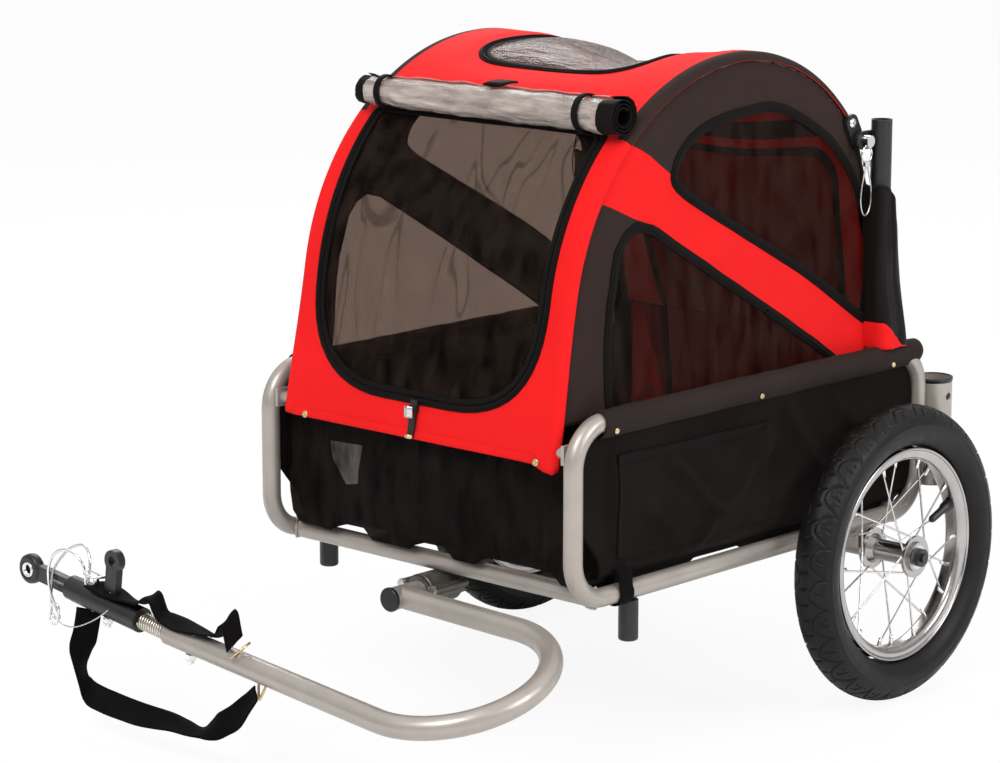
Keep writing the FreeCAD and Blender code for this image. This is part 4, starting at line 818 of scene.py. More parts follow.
door_line = rounded(four_sides(0.147, DOOR_LOW, DOOR_TOP), [0.105, 0.105, 0.014, 0.014], 12)
roof_line = rounded(four_sides(0.105, ROOF_FRONT, ROOF_REAR), 0.046, 10)
print("canopy cloth is", round(2 * CLOTH_HALF, 3), "by", round(CLOTH_LENGTH, 3), "m")

# %% [markdown]
# ## Red canopy
# One continuous sheet runs from the hem under the door, over the top and down to the rear bow ends. The door
# and the sunroof are left open in the cut. Its size is the flat cut's own area.

# %% Canopy sheet
canopy_cut = [(-CLOTH_HALF, 0.009), (-0.171, 0.001), (-0.158, 0.0), (0.150, 0.0), (0.164, -0.005),
              (0.174, -0.007), (CLOTH_HALF, -0.002), (CLOTH_HALF, CLOTH_LENGTH), (-CLOTH_HALF, CLOTH_LENGTH)]
BORDER_START, BORDER_X = run_at(0.589), BOW_X - 0.0045


def strip(inner, outer, low, high):
    """A strip of the flat cloth, beside one bow."""
    return [(inner, low), (outer, low), (outer, high), (inner, high)]


borders = [strip(sign * BORDER_X, sign * (CLOTH_HALF - 0.0001), BORDER_START, CLOTH_LENGTH - 0.0001)
           for sign in (1, -1)]
roll_rows = [strip(sign * (BOW_X + BOW_ROLL * a), sign * (BOW_X + BOW_ROLL * b), 0.004, CLOTH_LENGTH - 0.004)
             for sign in (1, -1) for a, b in ((0.0, 0.42), (0.84, 1.26))]


def canopy_kind(point):
    """0 for red cloth, 1 for the charcoal borders over the bows."""
    if not inside(point, canopy_cut) or inside(point, door_line) or inside(point, roof_line):
        return None
    return 1 if any(inside(point, border) for border in borders) else 0


canopy_lines = [canopy_cut, door_line, roof_line] + borders + roll_rows
canopy = cut_cloth("canopy_sheet", canopy_lines, 0.0065, canopy_kind, on_canopy, [RED, CHARCOAL])
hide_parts("canopy_front", "canopy_roof")
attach(canopy, "canopy_frame")
canopy_area = flat_area(canopy_cut) - flat_area(door_line) - flat_area(roof_line)
print("canopy area", round(canopy_area, 3), "square metres")

# %% [markdown]
# ## Door and sunroof
# The door is a D-shaped net panel, zipped into the red front. The sunroof is clear film on a zip of its own,
# and it stands a little proud where the film is stiff. Each zip is two tapes side by side: one stays with the
# canopy, the other goes with the panel.

# %% Door net and sunroof film
def inset_line(outline, amount):
    """The outline moved inwards."""
    count = len(outline)
    result = []
    for i in range(count):
        way = Vector(outline[(i + 1) % count]) - Vector(outline[i - 1])
        if way.length < 1e-9:
            continue
        way.normalize()
        result.append((outline[i][0] - way.y * amount, outline[i][1] + way.x * amount))
    return result


def panel_on_canopy(name, outline, finish, puff, thickness, lean=0.0):
    """A panel of the canopy that stands proud by puff at its middle, more towards one side by lean."""
    xs, ys = zip(*outline)
    mid = ((min(xs) + max(xs)) / 2, (min(ys) + max(ys)) / 2)
    half = ((max(xs) - min(xs)) / 2, (max(ys) - min(ys)) / 2)

    def lay(u, v):
        across, along = (u - mid[0]) / half[0], (v - mid[1]) / half[1]
        edge = max(0.0, 1 - abs(across) ** 2.4) * max(0.0, 1 - abs(along) ** 2.4)
        return on_canopy(u, v, puff * edge * (1 - lean * across))

    return cut_cloth(name, [outline], 0.0075, filled(outline), lay, finish, thickness)


door_panel = inset_line(door_line, 0.003)
door = panel_on_canopy("door_net", door_panel, NET, -0.006, 0.0006)
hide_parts("door_panel")
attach(door, "door")
door_area = flat_area(door_panel)
roof_panel = inset_line(roof_line, 0.003)
sunroof = panel_on_canopy("sunroof_film", roof_panel, ROOF_FILM, 0.015, 0.0006, 0.7)
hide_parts("sunroof_cover")
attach(sunroof, "sunroof")
flat_area(roof_panel)
print("door", round(door_area, 3), "square metres of net")

# %% Zip tapes and hem
def tape_on_canopy(name, line, lift, profile, finish, closed=False):
    """A tape along a flat line, laid on the canopy's cloth."""
    places = [on_canopy(u, v, lift) for u, v in line]
    return run_tape(name, places, [canopy_up(u, v) for u, v in line], profile, finish, closed)


def zip_tape(name, outline, inward, width, body, ridge=0.0):
    line = closely(inset_line(outline, inward), 0.006)
    tape = tape_on_canopy(name, line, 0.0007, flat_profile(width, 0.0014, ridge), BINDING, True)
    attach(tape, body)


zip_tape("door_zip_outer", door_line, -0.0024, 0.0065, "canopy_frame", 0.0012)
zip_tape("door_zip_inner", door_line, 0.0042, 0.0055, "door")
zip_tape("sunroof_zip_outer", roof_line, -0.0026, 0.007, "canopy_frame", 0.0012)
zip_tape("sunroof_zip_inner", roof_line, 0.0046, 0.006, "sunroof")
hem = [(-0.160 + 0.312 * i / 60, 0.0045) for i in range(61)]
hem_tape = tape_on_canopy("canopy_hem", hem, 0.0006, flat_profile(0.008, 0.0009), RED)
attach(hem_tape, "canopy_frame")
print("hem and four zip tapes sewn on")

# %% [markdown]
# ## Rain cover
# A sheet of clear film is rolled up over the door and held by two elastic loops and a tab. It is made as a
# real roll: a spiral of film, loose and creased, with black edge tape at both ends.

# %% Rolled film
roll_low, roll_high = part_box("rain_roll")
ROLL = (Vector(roll_low) + Vector(roll_high)) / 2
ROLL_R = (roll_high[2] - roll_low[2]) / 2
ROLL_HALF = (roll_high[0] - roll_low[0]) / 2
LOOP_PLACES = (-0.138, 0.122)
ROLL_TURNS, PER_TURN, ROLL_ROWS = 3.1, 44, 96
TAPE_LEFT, TAPE_RIGHT = 0.022, 0.010
points, numbers, flats = [], [], []
steps = int(ROLL_TURNS * PER_TURN)
for i in range(ROLL_ROWS + 1):
    x = -ROLL_HALF + 2 * ROLL_HALF * i / ROLL_ROWS
    swell = 1.0 + 0.10 * x / ROLL_HALF
    for k in range(steps + 1):
        a = 2 * math.pi * k / PER_TURN
        radius = ROLL_R * (0.42 + 0.55 * k / steps)
        crease = 0.0016 * ripple((x, math.cos(a) * 0.03, math.sin(a) * 0.03), 0.022, 3.0)
        crease += 0.0010 * ripple((x * 0.4, math.cos(a) * 0.05, math.sin(a) * 0.05), 0.009, 5.0)
        tight = 1 - 0.10 * max(math.exp(-((x - s) / 0.012) ** 2) for s in LOOP_PLACES)
        reach = radius * swell * tight + crease * (0.3 + 0.7 * k / steps)
        points.append(ROLL + Vector((x, reach * math.cos(a + 0.7), reach * math.sin(a + 0.7))))
        flats.append((x, radius * a))
for i in range(ROLL_ROWS):
    x = -ROLL_HALF + 2 * ROLL_HALF * (i + 0.5) / ROLL_ROWS
    taped = x > ROLL_HALF - TAPE_LEFT or x < -ROLL_HALF + TAPE_RIGHT
    numbers += [1 if taped else 0] * steps
faces = grid_faces(ROLL_ROWS + 1, steps + 1)
roll = thicken(make_piece("rain_cover_roll", points, faces, [FILM, BINDING], flats, numbers), 0.0009)
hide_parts("rain_roll")
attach(roll, "canopy_frame")
print("roll has", ROLL_TURNS, "turns, radius", round(ROLL_R, 4))

# %% Elastic loops
TAB_LINE = [(-0.004, 0.0168), (0.004, 0.0180), (0.012, 0.0186), (0.020, 0.0182)]
loops = []
for s in LOOP_PLACES:
    reach = ROLL_R * (0.885 * (1 + 0.10 * s / ROLL_HALF) + 0.03)
    middle = ROLL + Vector((s, 0, 0))
    angles = [2 * math.pi * k / 40 for k in range(40)]
    ups = [Vector((0, reach * math.cos(a), reach * math.sin(a))) for a in angles]
    line = [middle + up for up in ups]
    loops.append(run_tape("loop", line, ups, flat_profile(0.007, 0.0018), BINDING, True))
tab_line = [Vector((0.014, ROLL.y + y, ROLL.z + z)) for y, z in TAB_LINE]
tab_ups = [Vector((0, 0, 1))] * len(tab_line)
loops.append(run_tape("tab", tab_line, tab_ups, flat_profile(0.024, 0.0022), BINDING))
elastic = as_one("elastic_loops", loops)
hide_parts("roll_straps")
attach(elastic, "canopy_frame")
print("roll held by", len(LOOP_PLACES), "loops")

# %% [markdown]
# ## Canopy sides
# Each side is one flat cut sewn from four cloths: a charcoal arch, a red band across it, and two net windows
# above and below the band. Drawing all the seams as outlines of one cut keeps the seams closed. The cloth is
# sewn to the tub below and to the bow above.

# %% Outlines of the sides
def arch_edge(run_from, run_to, count, offset):
    """Points along the bow's line, moved outwards by the offset."""
    edge = []
    for i in range(count + 1):
        base, out = arch(run_from + (run_to - run_from) * i / count)
        edge.append((base.y + out.y * offset, base.z + out.z * offset))
    return edge


SIDE_LOW = 0.334
side_run = run_at(SIDE_LOW)
SIDE_CUT = arch_edge(side_run, CLOTH_LENGTH, 60, 0.0035) + [(0.028, 0.505), (0.046, 0.440), (0.080, SIDE_LOW)]
UPPER_WINDOW = [(-264, 558), (-242, 581), (-206, 595), (-161, 601), (-114, 601), (-75, 587), (-27, 560),
                (6, 527), (26, 495), (39, 453), (38, 374), (26, 375), (-76, 439), (-198, 504), (-258, 538)]
LOWER_WINDOW = [(-366, 341), (-364, 400), (-359, 444), (-347, 486), (-334, 501), (-318, 508), (-298, 503),
                (-228, 463), (-132, 407), (-61, 365), (-36, 349), (-24, 341)]
BAND_UPPER = [(-326, 586), (-300, 572), (-263, 547), (-197, 511), (-75, 446), (20, 383), (50, 366), (82, 352),
              (82, 340)]
BAND_LOWER = [(-10, 338), (-50, 364), (-132, 412), (-228, 468), (-288, 504), (-322, 516), (-362, 533),
              (-384, 530)]


def metres(points):
    """The same flat points, from millimetres."""
    return [(y / 1000, z / 1000) for y, z in points]


upper_window = smooth_line([Vector(p) for p in metres(UPPER_WINDOW)], 4, True)
upper_window = [(p.x, p.y) for p in upper_window]
lower_window = rounded(metres(LOWER_WINDOW), 0.008, 4)
outer_arc = arch_edge(run_at(0.536), BORDER_START, 12, 0.0045)
red_band = metres(BAND_UPPER) + metres(BAND_LOWER) + outer_arc


def side_kind(point):
    """0 for charcoal cloth, 1 for the red band."""
    if not inside(point, SIDE_CUT) or inside(point, upper_window) or inside(point, lower_window):
        return None
    return 1 if inside(point, red_band) else 0


print("each side has", len(SIDE_CUT), "points round its cut and two windows")

# %% Lie of the sides
PANEL_X = BOW_X + BOW_ROLL - 0.0006


def side_flare(y, z):
    """How far the cloth is drawn out to the rail at its foot."""
    foot = (1 - share_of((z - 0.345) / 0.190)) ** 1.6
    return 0.0105 * foot * (0.3 + 0.7 * ease(y, -0.425, -0.345))


def inside_bow(y, z):
    """How far a side point lies inside the bow's line."""
    if y > ARCH_TOP.y:
        return REAR_R - math.hypot(y - ARCH_TOP.y, z - ARCH_TOP.z + REAR_R)
    below = LEG_TOP - Vector((0, y, z))
    if below.dot(LEG_WAY) > 0:
        return below.dot(LEG_OUT)
    return FRONT_R - math.hypot(y - ARCH_TOP.y, z - ARCH_TOP.z + FRONT_R)


def on_side(sign):
    """The way that one side's cloth lies: tucked in at the bow, loose below it."""
    def lay(y, z):
        free = ease(inside_bow(y, z), 0.0, 0.014)
        wave = 0.0020 * ripple((y, z, sign), 0.06, 2.0) + 0.0009 * ripple((y, z, sign), 0.024, 7.0)
        return Vector((sign * (PANEL_X + side_flare(y, z) + wave * free - 0.0024 * (1 - free)), y, z))
    return lay


def blacken_inner_faces(piece, sign):
    """Makes the faces of the cloth that look inwards black."""
    piece.data.materials.append(INNER_BLACK)
    for face in piece.data.polygons:
        if face.normal.x * sign < -0.3:
            face.material_index = len(piece.data.materials) - 1


def blended(piece):
    """Bakes the piece's place into its points."""
    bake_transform(piece)


print("side cloth lies", round(PANEL_X, 4), "m from the middle")

# %% Side panels and windows
WINDOWS = [upper_window, lower_window]
side_area = flat_area(SIDE_CUT) - flat_area(upper_window) - flat_area(lower_window)
for side, sign in SIDES:
    lay = on_side(sign)
    cut = cut_cloth("side_panel_" + side, [SIDE_CUT] + WINDOWS + [red_band], 0.0065, side_kind, lay,
                    [CHARCOAL, RED])
    blacken_inner_faces(cut, sign)
    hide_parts("canopy_side_" + side)
    blended(cut)
    panes = cut_cloth("window_net_" + side, WINDOWS, 0.008, filled(*WINDOWS), lay, NET, 0.0006)
    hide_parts("side_windows_" + side)
    blended(panes)
    flat_area(upper_window) + flat_area(lower_window)
    trims = []
    outward = Vector((sign, 0, 0))
    for outline in WINDOWS:
        line = [lay(*p) + outward * 0.0006 for p in closely(outline, 0.006)]
        ups = [outward] * len(line)
        trims.append(run_tape("trim", line, ups, flat_profile(0.010, 0.0014, 0.0006), BINDING, True))
    trim = as_one("window_binding_" + side, trims)
    blended(trim)
print("side cut", round(side_area, 3), "square metres of cloth")

# %% [markdown]
# ## Canopy rear
# The photograph doesn't show the rear from outside, but through the side windows it looks dark red. So the
# rear is a red panel in a charcoal frame, from the roof's rear edge down to the tub, following the roof's sag
# at its top. A cloth sleeve with a red foot covers the lower end of each rear post.
# The rear's red middle is a darker copy of the red cloth, which is painted shade.

# %% Rear panel
REAR_HEIGHT, FOOT_Y, FOOT_Z, FOOT_SPREAD = 0.240, 0.0785, 0.340, 1.055


def on_rear(u, v):
    """Lays the rear cloth. v runs from 0 at the tub's rear edge to 1 at the roof's rear edge."""
    low = Vector((u * FOOT_SPREAD, FOOT_Y, FOOT_Z))
    high = on_canopy(max(-BOW_X, min(BOW_X, u)), CLOTH_LENGTH - 0.001)
    high.x = u
    place = low.lerp(high, v)
    place.y += 0.0025 * ripple((u, v * 0.24), 0.06, 9.0) * math.sin(math.pi * v)
    return place


rear_cut = four_sides(0.175, 0.0, REAR_HEIGHT)


def rear_outline(low_half, low, high_half, drop, low_round, high_round):
    """A four-sided outline on the rear cut. drop is how far its top lies below the cut's."""
    high = REAR_HEIGHT - drop
    corners = [(-low_half, low), (low_half, low), (high_half, high), (-high_half, high)]
    return rounded(corners, [low_round, low_round, high_round, high_round], 8)


rear_frame = rear_outline(0.164, 0.002, 0.156, 0.020, 0.006, 0.03)
rear_seams = [rear_outline(0.119, 0.0015, 0.146, 0.030, 0.002, 0.035),
              rear_outline(0.110, 0.0015, 0.137, 0.039, 0.002, 0.035)]


def rear_kind(point):
    """0 for the charcoal frame, 1 for the red middle, darkened as painted shade, 2 for its black seam, 3 for
    the red edge.
    """
    if not inside(point, rear_cut):
        return None
    if inside(point, rear_seams[1]):
        return 1
    return 2 if inside(point, rear_seams[0]) else 3 if inside(point, rear_frame) else 0


rear = cut_cloth("rear_panel", [rear_cut, rear_frame] + rear_seams, 0.008, rear_kind,
                 lambda u, v: on_rear(u, v / REAR_HEIGHT), [CHARCOAL, SHADED_RED, BINDING, RED])
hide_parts("canopy_rear")
blended(rear)
print("rear panel", REAR_HEIGHT, "m high")

# %% Post sleeves
SLEEVE_LOW, SLEEVE_TOP = 0.3475, 0.512
SLEEVE_SIDES, RED_ROWS, SLEEVE_ROWS = 56, 8, 44


def on_post_sleeve(sign, middle_x):
    """The way that a sleeve lies round its post: wider towards its foot, with a sloping mouth."""
    def lay(turn, z):
        t = share_of((SLEEVE_TOP - z) / 0.162)
        front, back = 0.0215, 0.0482 + 0.0185 * t
        half = (back - front) / 2
        c, s = math.cos(turn), math.sin(turn)
        squarer = 1 / max(abs(c) ** 4 + abs(s) ** 4, 0.2) ** 0.25
        y = (front + back) / 2 - half * c * squarer
        fold = 0.0012 * ripple((c, s, z * 6), 0.6, 3.0) + 0.0008 * ripple((c * 3, s * 3, z * 12), 0.5, 5.0)
        depth = 0.0136 + fold - 0.0016 * math.exp(-((c + 0.25) / 0.13) ** 2) + 0.0068 * ease(t, 0.55, 1.0)
        mouth = 0.027 * ease(y, 0.028, 0.060) * ease(z, 0.46, SLEEVE_TOP)
        return Vector((middle_x + sign * depth * s * squarer, y, z - mouth))
    return lay


for side, sign in SIDES:
    middle_x = sum(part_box("rear_post_" + side)[i][0] for i in (0, 1)) / 2
    lay = on_post_sleeve(sign, middle_x)
    angles = [2 * math.pi * k / SLEEVE_SIDES for k in range(SLEEVE_SIDES)]
    seams = [max(0.3484, 0.3745 - max(0.0, lay(a, 0.365).y - 0.026)) for a in angles]
    points, flats = [], []
    for i in range(SLEEVE_ROWS + 1):
        for k, (a, seam) in enumerate(zip(angles, seams)):
            if i < RED_ROWS:
                z = SLEEVE_LOW + (seam - SLEEVE_LOW) * i / RED_ROWS
            else:
                z = seam + (SLEEVE_TOP - seam) * (i - RED_ROWS) / (SLEEVE_ROWS - RED_ROWS)
            points.append(lay(a, z))
            flats.append((0.11 * k / SLEEVE_SIDES, z))
    faces = grid_faces(SLEEVE_ROWS + 1, SLEEVE_SIDES, False, True)
    numbers = [1] * (RED_ROWS * SLEEVE_SIDES) + [0] * ((SLEEVE_ROWS - RED_ROWS) * SLEEVE_SIDES)
    sleeve = make_piece("post_sleeve_" + side, points, faces, [BLACK, RED], flats, numbers)
    thicken(sleeve, 0.0012, -1.0)
    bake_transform(sleeve)
print("a cloth sleeve covers each post's foot")

# %% [markdown]
# ## Tub
# Black cloth hangs from the top rails and the floor board lies on the cross rails. The side cloth is held at
# its edges only, so it wrinkles and bellies. The front is a denser net, and the rear goes on with the red
# panel above it. A cloth sleeve wraps each top rail, and small snaps hold the side cloth below it.

# %% Lie of the tub's sides
LOOP_X, TOP_Z, LOW_Z = 0.2005, 0.3385, 0.173
FRONT_Y, REAR_Y = -0.431, 0.095
TUB_LENGTH = REAR_Y - FRONT_Y
BELLY_LOW, BELLY_HEIGHT = 0.1835, 0.144
CREASE_DEPTH = 2.3
CREASES = [((-298, 288), (-232, 228), 3.4, 7), ((-148, 287), (-232, 228), 4.2, 9),
           ((-232, 228), (-258, 200), 3.2, 7), ((-376, 301), (-372, 214), 2.6, 6),
           ((-120, 306), (-60, 226), 3.0, 10), ((-330, 246), (-270, 196), 2.4, 8),
           ((-40, 300), (30, 240), 2.6, 9), ((-180, 210), (-90, 196), 2.4, 7)]


def crease_height(y, z):
    """Soft folds along a few lines, where the cloth is pulled towards its snaps and corners."""
    total = 0.0
    for start, end, height, width in CREASES:
        a, b = Vector(start) / 1000, Vector(end) / 1000
        t = share_of((Vector((y, z)) - a).dot(b - a) / (b - a).length_squared)
        gap = (Vector((y, z)) - a.lerp(b, t)).length * 1000 / width
        fade = 0.35 + 0.65 * math.sin(math.pi * (0.12 + 0.76 * t))
        total += CREASE_DEPTH * height / 1000 * math.exp(-gap * gap) * fade
    return total


def bulge(value):
    """Rises from 0 at value 0 to 1 half-way, and falls to 0 at value 1."""
    return math.sin(math.pi * share_of(value))


def on_tub_side(sign, proud=0.0):
    """The way that the tub's side cloth lies: it bellies, wrinkles, and turns in at its foot."""
    def lay(y, z):
        belly = bulge((z - BELLY_LOW) / BELLY_HEIGHT) * bulge((y - FRONT_Y) / TUB_LENGTH)
        folds = 0.0054 * ripple((y * 0.8, z * 1.6, sign), 0.085, 4.0)
        folds += 0.0018 * ripple((y, z, sign), 0.033, 8.0)
        slant = 0.0022 * math.sin((y * 0.9 + z * 1.7) * 58 + 2.0 * ripple((y, z, 0.0), 0.12, 1.0))
        out = LOOP_X - 0.001 + proud + 0.004 * belly + crease_height(y, z)
        out += (folds + slant) * (0.25 + 0.75 * belly)
        return Vector((sign * (out - 0.0125 * ease(0.196 - z, 0.0, 0.014)), y, z))
    return lay


print("tub sides have", len(CREASES), "creases")

# %% Tub sides and pockets
CUT_LOW, CUT_HIGH, CUT_FRONT, CUT_BACK = 0.172, 0.3275, FRONT_Y + 0.0095, REAR_Y - 0.0095
CUT_CORNERS = [(CUT_FRONT, 0.240), (CUT_FRONT + 0.026, 0.208), (CUT_FRONT + 0.034, CUT_LOW),
               (-0.256, CUT_LOW), (-0.243, 0.1800), (-0.178, 0.1800), (-0.164, CUT_LOW), (CUT_BACK, CUT_LOW),
               (CUT_BACK, CUT_HIGH), (CUT_FRONT, CUT_HIGH)]
CUT_ROUNDS = [0.020, 0.016, 0.006, 0.006, 0.006, 0.006, 0.006, 0.034, 0.030, 0.030]
POCKET_LOW, POCKET_TOP = [(-0.374, 0.204), (-0.152, 0.204)], [(-0.150, 0.297), (-0.374, 0.300)]
side_line = rounded(CUT_CORNERS, CUT_ROUNDS, 8)
pocket_line = rounded(POCKET_LOW + POCKET_TOP, 0.012, 5)
hem_line = closely(POCKET_TOP[::-1], 0.006, False)
for side, sign in SIDES:
    cloth = cut_cloth("tub_cloth_" + side, [side_line], 0.0045, filled(side_line), on_tub_side(sign),
                      TUB_CLOTH, 0.0014)
    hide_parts("tub_side_" + side)
    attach(cloth, "chassis")
    pocket = cut_cloth("side_pocket_" + side, [pocket_line], 0.0034, filled(pocket_line),
                       on_tub_side(sign, 0.0016), TUB_CLOTH, 0.0008)
    lay = on_tub_side(sign, 0.0022)
    pocket_hem = run_tape("pocket_hem_" + side, [lay(*q) for q in hem_line],
                          [Vector((sign, 0, 0))] * len(hem_line), flat_profile(0.009, 0.0010), BINDING)
    for piece in (pocket, pocket_hem):
        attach(piece, "chassis")
print("tub sides hung, each with a pocket")

# %% Rail loops, rail sleeves and snaps
RAIL_LOOP_Y, RAIL_LOOP_R, RAIL_LOOP_STEPS = -0.367, 0.0108, 32
RAIL_SIDES, RAIL_ROWS = 36, 81
SIDE_SNAP = [(0.0, 0.0001), (0.0010, 0.0012), (0.0009, 0.0024), (0.0003, 0.0030), (-0.0002, 0.0031),
             (-0.0002, 0.0001)]
SNAP_X, SNAP_Z, SNAP_PLACES = 0.2095, 0.3300, (-0.381, -0.169, 0.042)


def facing(piece, sign, x, y, z):
    """Puts a piece that was turned facing left on its side of the trailer."""
    piece.data.transform(Matrix.Rotation(0 if sign > 0 else math.pi, 4, "Z"))
    piece.data.transform(Matrix.Translation((sign * x, y, z)))
    return piece


for side, sign in SIDES:
    middle = Vector((sign * LOOP_X, RAIL_LOOP_Y, LOW_Z))
    line = []
    for k in range(RAIL_LOOP_STEPS):
        a = 2 * math.pi * k / RAIL_LOOP_STEPS
        rise = 0.012 if 0.6 < a < 2.6 else 0.0
        line.append(middle + Vector((sign * RAIL_LOOP_R * math.cos(a), 0, RAIL_LOOP_R * math.sin(a) + rise)))
    rail_loop = run_tape("rail_loop_" + side, line, [q - middle for q in line], flat_profile(0.019, 0.0012),
                         WEBBING, True)
    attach(rail_loop, "chassis")
    points, flats = [], []
    for i in range(RAIL_ROWS):
        spot = Vector((sign * LOOP_X, FRONT_Y + 0.034 + 0.486 * i / (RAIL_ROWS - 1), TOP_Z))
        for k in range(RAIL_SIDES):
            a = 2 * math.pi * k / RAIL_SIDES
            wrinkle = ripple((spot.y * 0.6, math.cos(a) * 0.012, math.sin(a) * 0.012 + sign), 0.016, 6.0)
            radius = 0.0113 + 0.0009 * wrinkle
            drop = 0.004 * max(0.0, -math.sin(a)) ** 3
            points.append(spot + Vector((radius * math.cos(a), 0, radius * math.sin(a) - drop)))
            flats.append((spot.y, radius * a))
    faces = grid_faces(RAIL_ROWS, RAIL_SIDES, False, True, True)
    sleeve = make_piece("rail_sleeve_" + side, points, faces, SLEEVE, flats)
    thicken(sleeve, 0.0012, -1.0)
    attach(sleeve, "chassis")
    if side == "left":
        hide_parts("rail_sleeves")
    snaps = [facing(turned("snap", SIDE_SNAP, BRASS, 20), sign, SNAP_X, y, SNAP_Z) for y in SNAP_PLACES]
    snap = as_one("side_snaps_" + side, snaps)
    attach(snap, "chassis")
print("rails wrapped,", len(SNAP_PLACES), "snaps on each side")

# %% Tub front
FRONT_LOW, FRONT_HIGH, END_WIDTH = 0.1835, 0.322, 0.38
SLITS = [(-0.128, -0.081), (-0.019, 0.028), (0.067, 0.166)]


def low_edge(low):
    """The front cloth's bottom edge, lifted off the rail at a few places, with rounded ends."""
    edge = [(-0.190, low + 0.032), (-0.187, low + 0.012), (-0.178, low + 0.002)]
    for start, end in SLITS:
        edge += [(start - 0.006, low), (start + 0.004, low + 0.0095)]
        edge += [(end - 0.006, low + 0.0105), (end + 0.005, low)]
    return edge + [(0.182, low), (0.190, low + 0.010)]


# A painted sheen: inside this patch the front net is paler, for light falling on it.
SHEEN_PATCH = [(-0.131, 0.275), (-0.128, 0.258), (-0.110, 0.234), (-0.092, 0.238), (-0.085, 0.277)]
front_line = low_edge(FRONT_LOW) + [(0.190, FRONT_HIGH), (-0.190, FRONT_HIGH)]


def front_kind(point):
    """0 for the net, 1 for a paler patch of it that is a painted sheen."""
    if not inside(point, front_line):
        return None
    return 1 if inside(point, SHEEN_PATCH) else 0


def end_lay(y, low, high, belly, seed):
    """The way that an end cloth lies: held at its edges, it bellies and folds between them."""
    def lay(x, z):
        t = (z - low) / (high - low)
        swell = bulge(t) * math.cos(math.pi * x / END_WIDTH)
        fold = 0.0030 * ripple((x, z * 0.5), 0.075, seed) + 0.0016 * ripple((x, z), 0.03, seed + 3.0)
        return Vector((x, y + belly * swell + fold * bulge(t + 0.12), z))
    return lay


on_front = end_lay(-0.4135, FRONT_LOW, FRONT_HIGH, -0.006, 11.0)
front_net = cut_cloth("tub_front_net", [front_line, SHEEN_PATCH], 0.0075, front_kind, on_front,
                      [TUB_NET, SHEEN_NET])
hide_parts("tub_front")
print("front net lifted off the rail at", len(SLITS), "places")

# %% Tub rear
BACK_LOW, BACK_HIGH = 0.1845, 0.346
BACK_SEAM = [(0.103, 0.206), (0.112, 0.206), (0.1255, 0.3448), (0.116, 0.3448)]
back_line = four_sides(0.190, BACK_LOW, BACK_HIGH)
back_red = rounded(four_sides(0.164, 0.205, 0.345), [0.03, 0.03, 0.004, 0.004], 8)
back_seams = [[(sign * x, z) for x, z in BACK_SEAM] for sign in (1, -1)]


def back_kind(point):
    """0 for the black frame, 1 for red darkened as painted shade, 2 for the black seams, 3 for the red
    corners.
    """
    if not inside(point, back_line):
        return None
    if not inside(point, back_red):
        return 0
    if any(inside(point, seam) for seam in back_seams):
        return 2
    shaded_half = 0.0675 + 0.097 * (point[1] / 0.2757 - 0.38)
    return 1 if abs(point[0]) < shaded_half else 3


on_back = end_lay(0.0735, BACK_LOW, BACK_HIGH, 0.004, 13.0)
back_cloth = cut_cloth("tub_back_cloth", [back_line, back_red] + back_seams, 0.0075, back_kind, on_back,
                       [BLACK, SHADED_RED, BINDING, RED])
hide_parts("tub_rear")
for piece, slot_name in ((front_net, "net_cloth"), (back_cloth, "black_cloth")):
    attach(piece, "chassis")
print("tub front and rear in place")

# %% Floor board
NOTCH = 0.034
board_low, board_high = (Vector(q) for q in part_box("tub_floor"))
board_line = [(board_low.x, board_low.y + 0.006)]
for start, end in SLITS:
    board_line += [(start - 0.014, board_low.y), (start - 0.012, board_low.y + NOTCH)]
    board_line += [(end + 0.006, board_low.y + NOTCH), (end + 0.008, board_low.y)]
board_line += [(board_high.x, board_low.y + 0.006), (board_high.x, board_high.y), (board_low.x, board_high.y)]
board_line = rounded(board_line, 0.006, 4)
board_thick = board_high.z - board_low.z - 0.0016


def on_board(x, y):
    """Lays the board flat, with a faint unevenness."""
    return Vector((x, y, (board_low.z + board_high.z) / 2 + 0.0007 * ripple((x, y), 0.05, 21.0)))


floor_board = cut_cloth("padded_floor_board", [board_line], 0.016, filled(board_line), on_board, BLACK,
                        board_thick)
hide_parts("tub_floor")
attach(floor_board, "chassis")
print("floor board", round(1000 * board_thick, 1), "mm thick")

# %% Hem snaps and zip pull
HEM_SNAP = [(0.0, 0.0001), (0.0014, 0.0014), (0.0012, 0.0030), (0.0004, 0.0036), (-0.0002, 0.0037),
            (-0.0002, 0.0001)]


def pointed(piece, axis, way, place):
    """Turns a piece from its own axis to another way and puts it in its place."""
    turn = Vector(axis).rotation_difference(way).to_matrix().to_4x4()
    piece.data.transform(Matrix.Translation(place) @ turn)
    return piece


hem_snaps = []
for x, z in ((-0.143, 0.3005), (0.155, 0.3000)):
    snap = turned("hem_snap", HEM_SNAP, BRASS, 20, "Y")
    run = run_at(z)
    hem_snaps.append(pointed(snap, (0, 1, 0), canopy_up(x, run), on_canopy(x, run, 0.0012)))
hem_snap = as_one("hem_snaps", hem_snaps)
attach(hem_snap, "canopy_frame")
pull_low, pull_high = (Vector(q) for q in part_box("zip_slider"))
pull_x = (pull_low.x + pull_high.x) / 2
PULL_TRIMS = (("zip_pull_tip", 0.0, 0.0035, 0.0094, BRASS), ("zip_pull_head", 0.020, 0.031, 0.0108, STEEL))
for name, low, high, width, finish in PULL_TRIMS:
    line = [Vector((pull_x, pull_low.y - 0.0008, pull_low.z + low + (high - low) * k / 4)) for k in range(5)]
    trim = run_tape(name, line, [Vector((0, -1, 0.15))] * 5, flat_profile(width, 0.0016, 0.0008), finish)
    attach(trim, "zip")
print(len(hem_snaps), "hem snaps and a trimmed zip pull")

# %% [markdown]
# ## Lug bolts and socket rings
# A plated dome-headed bolt holds each bow's lug, and a black moulded ring edges the top of each handle
# socket. Both are turned from their half sections. The ring stays outside the bore and leaves it open.

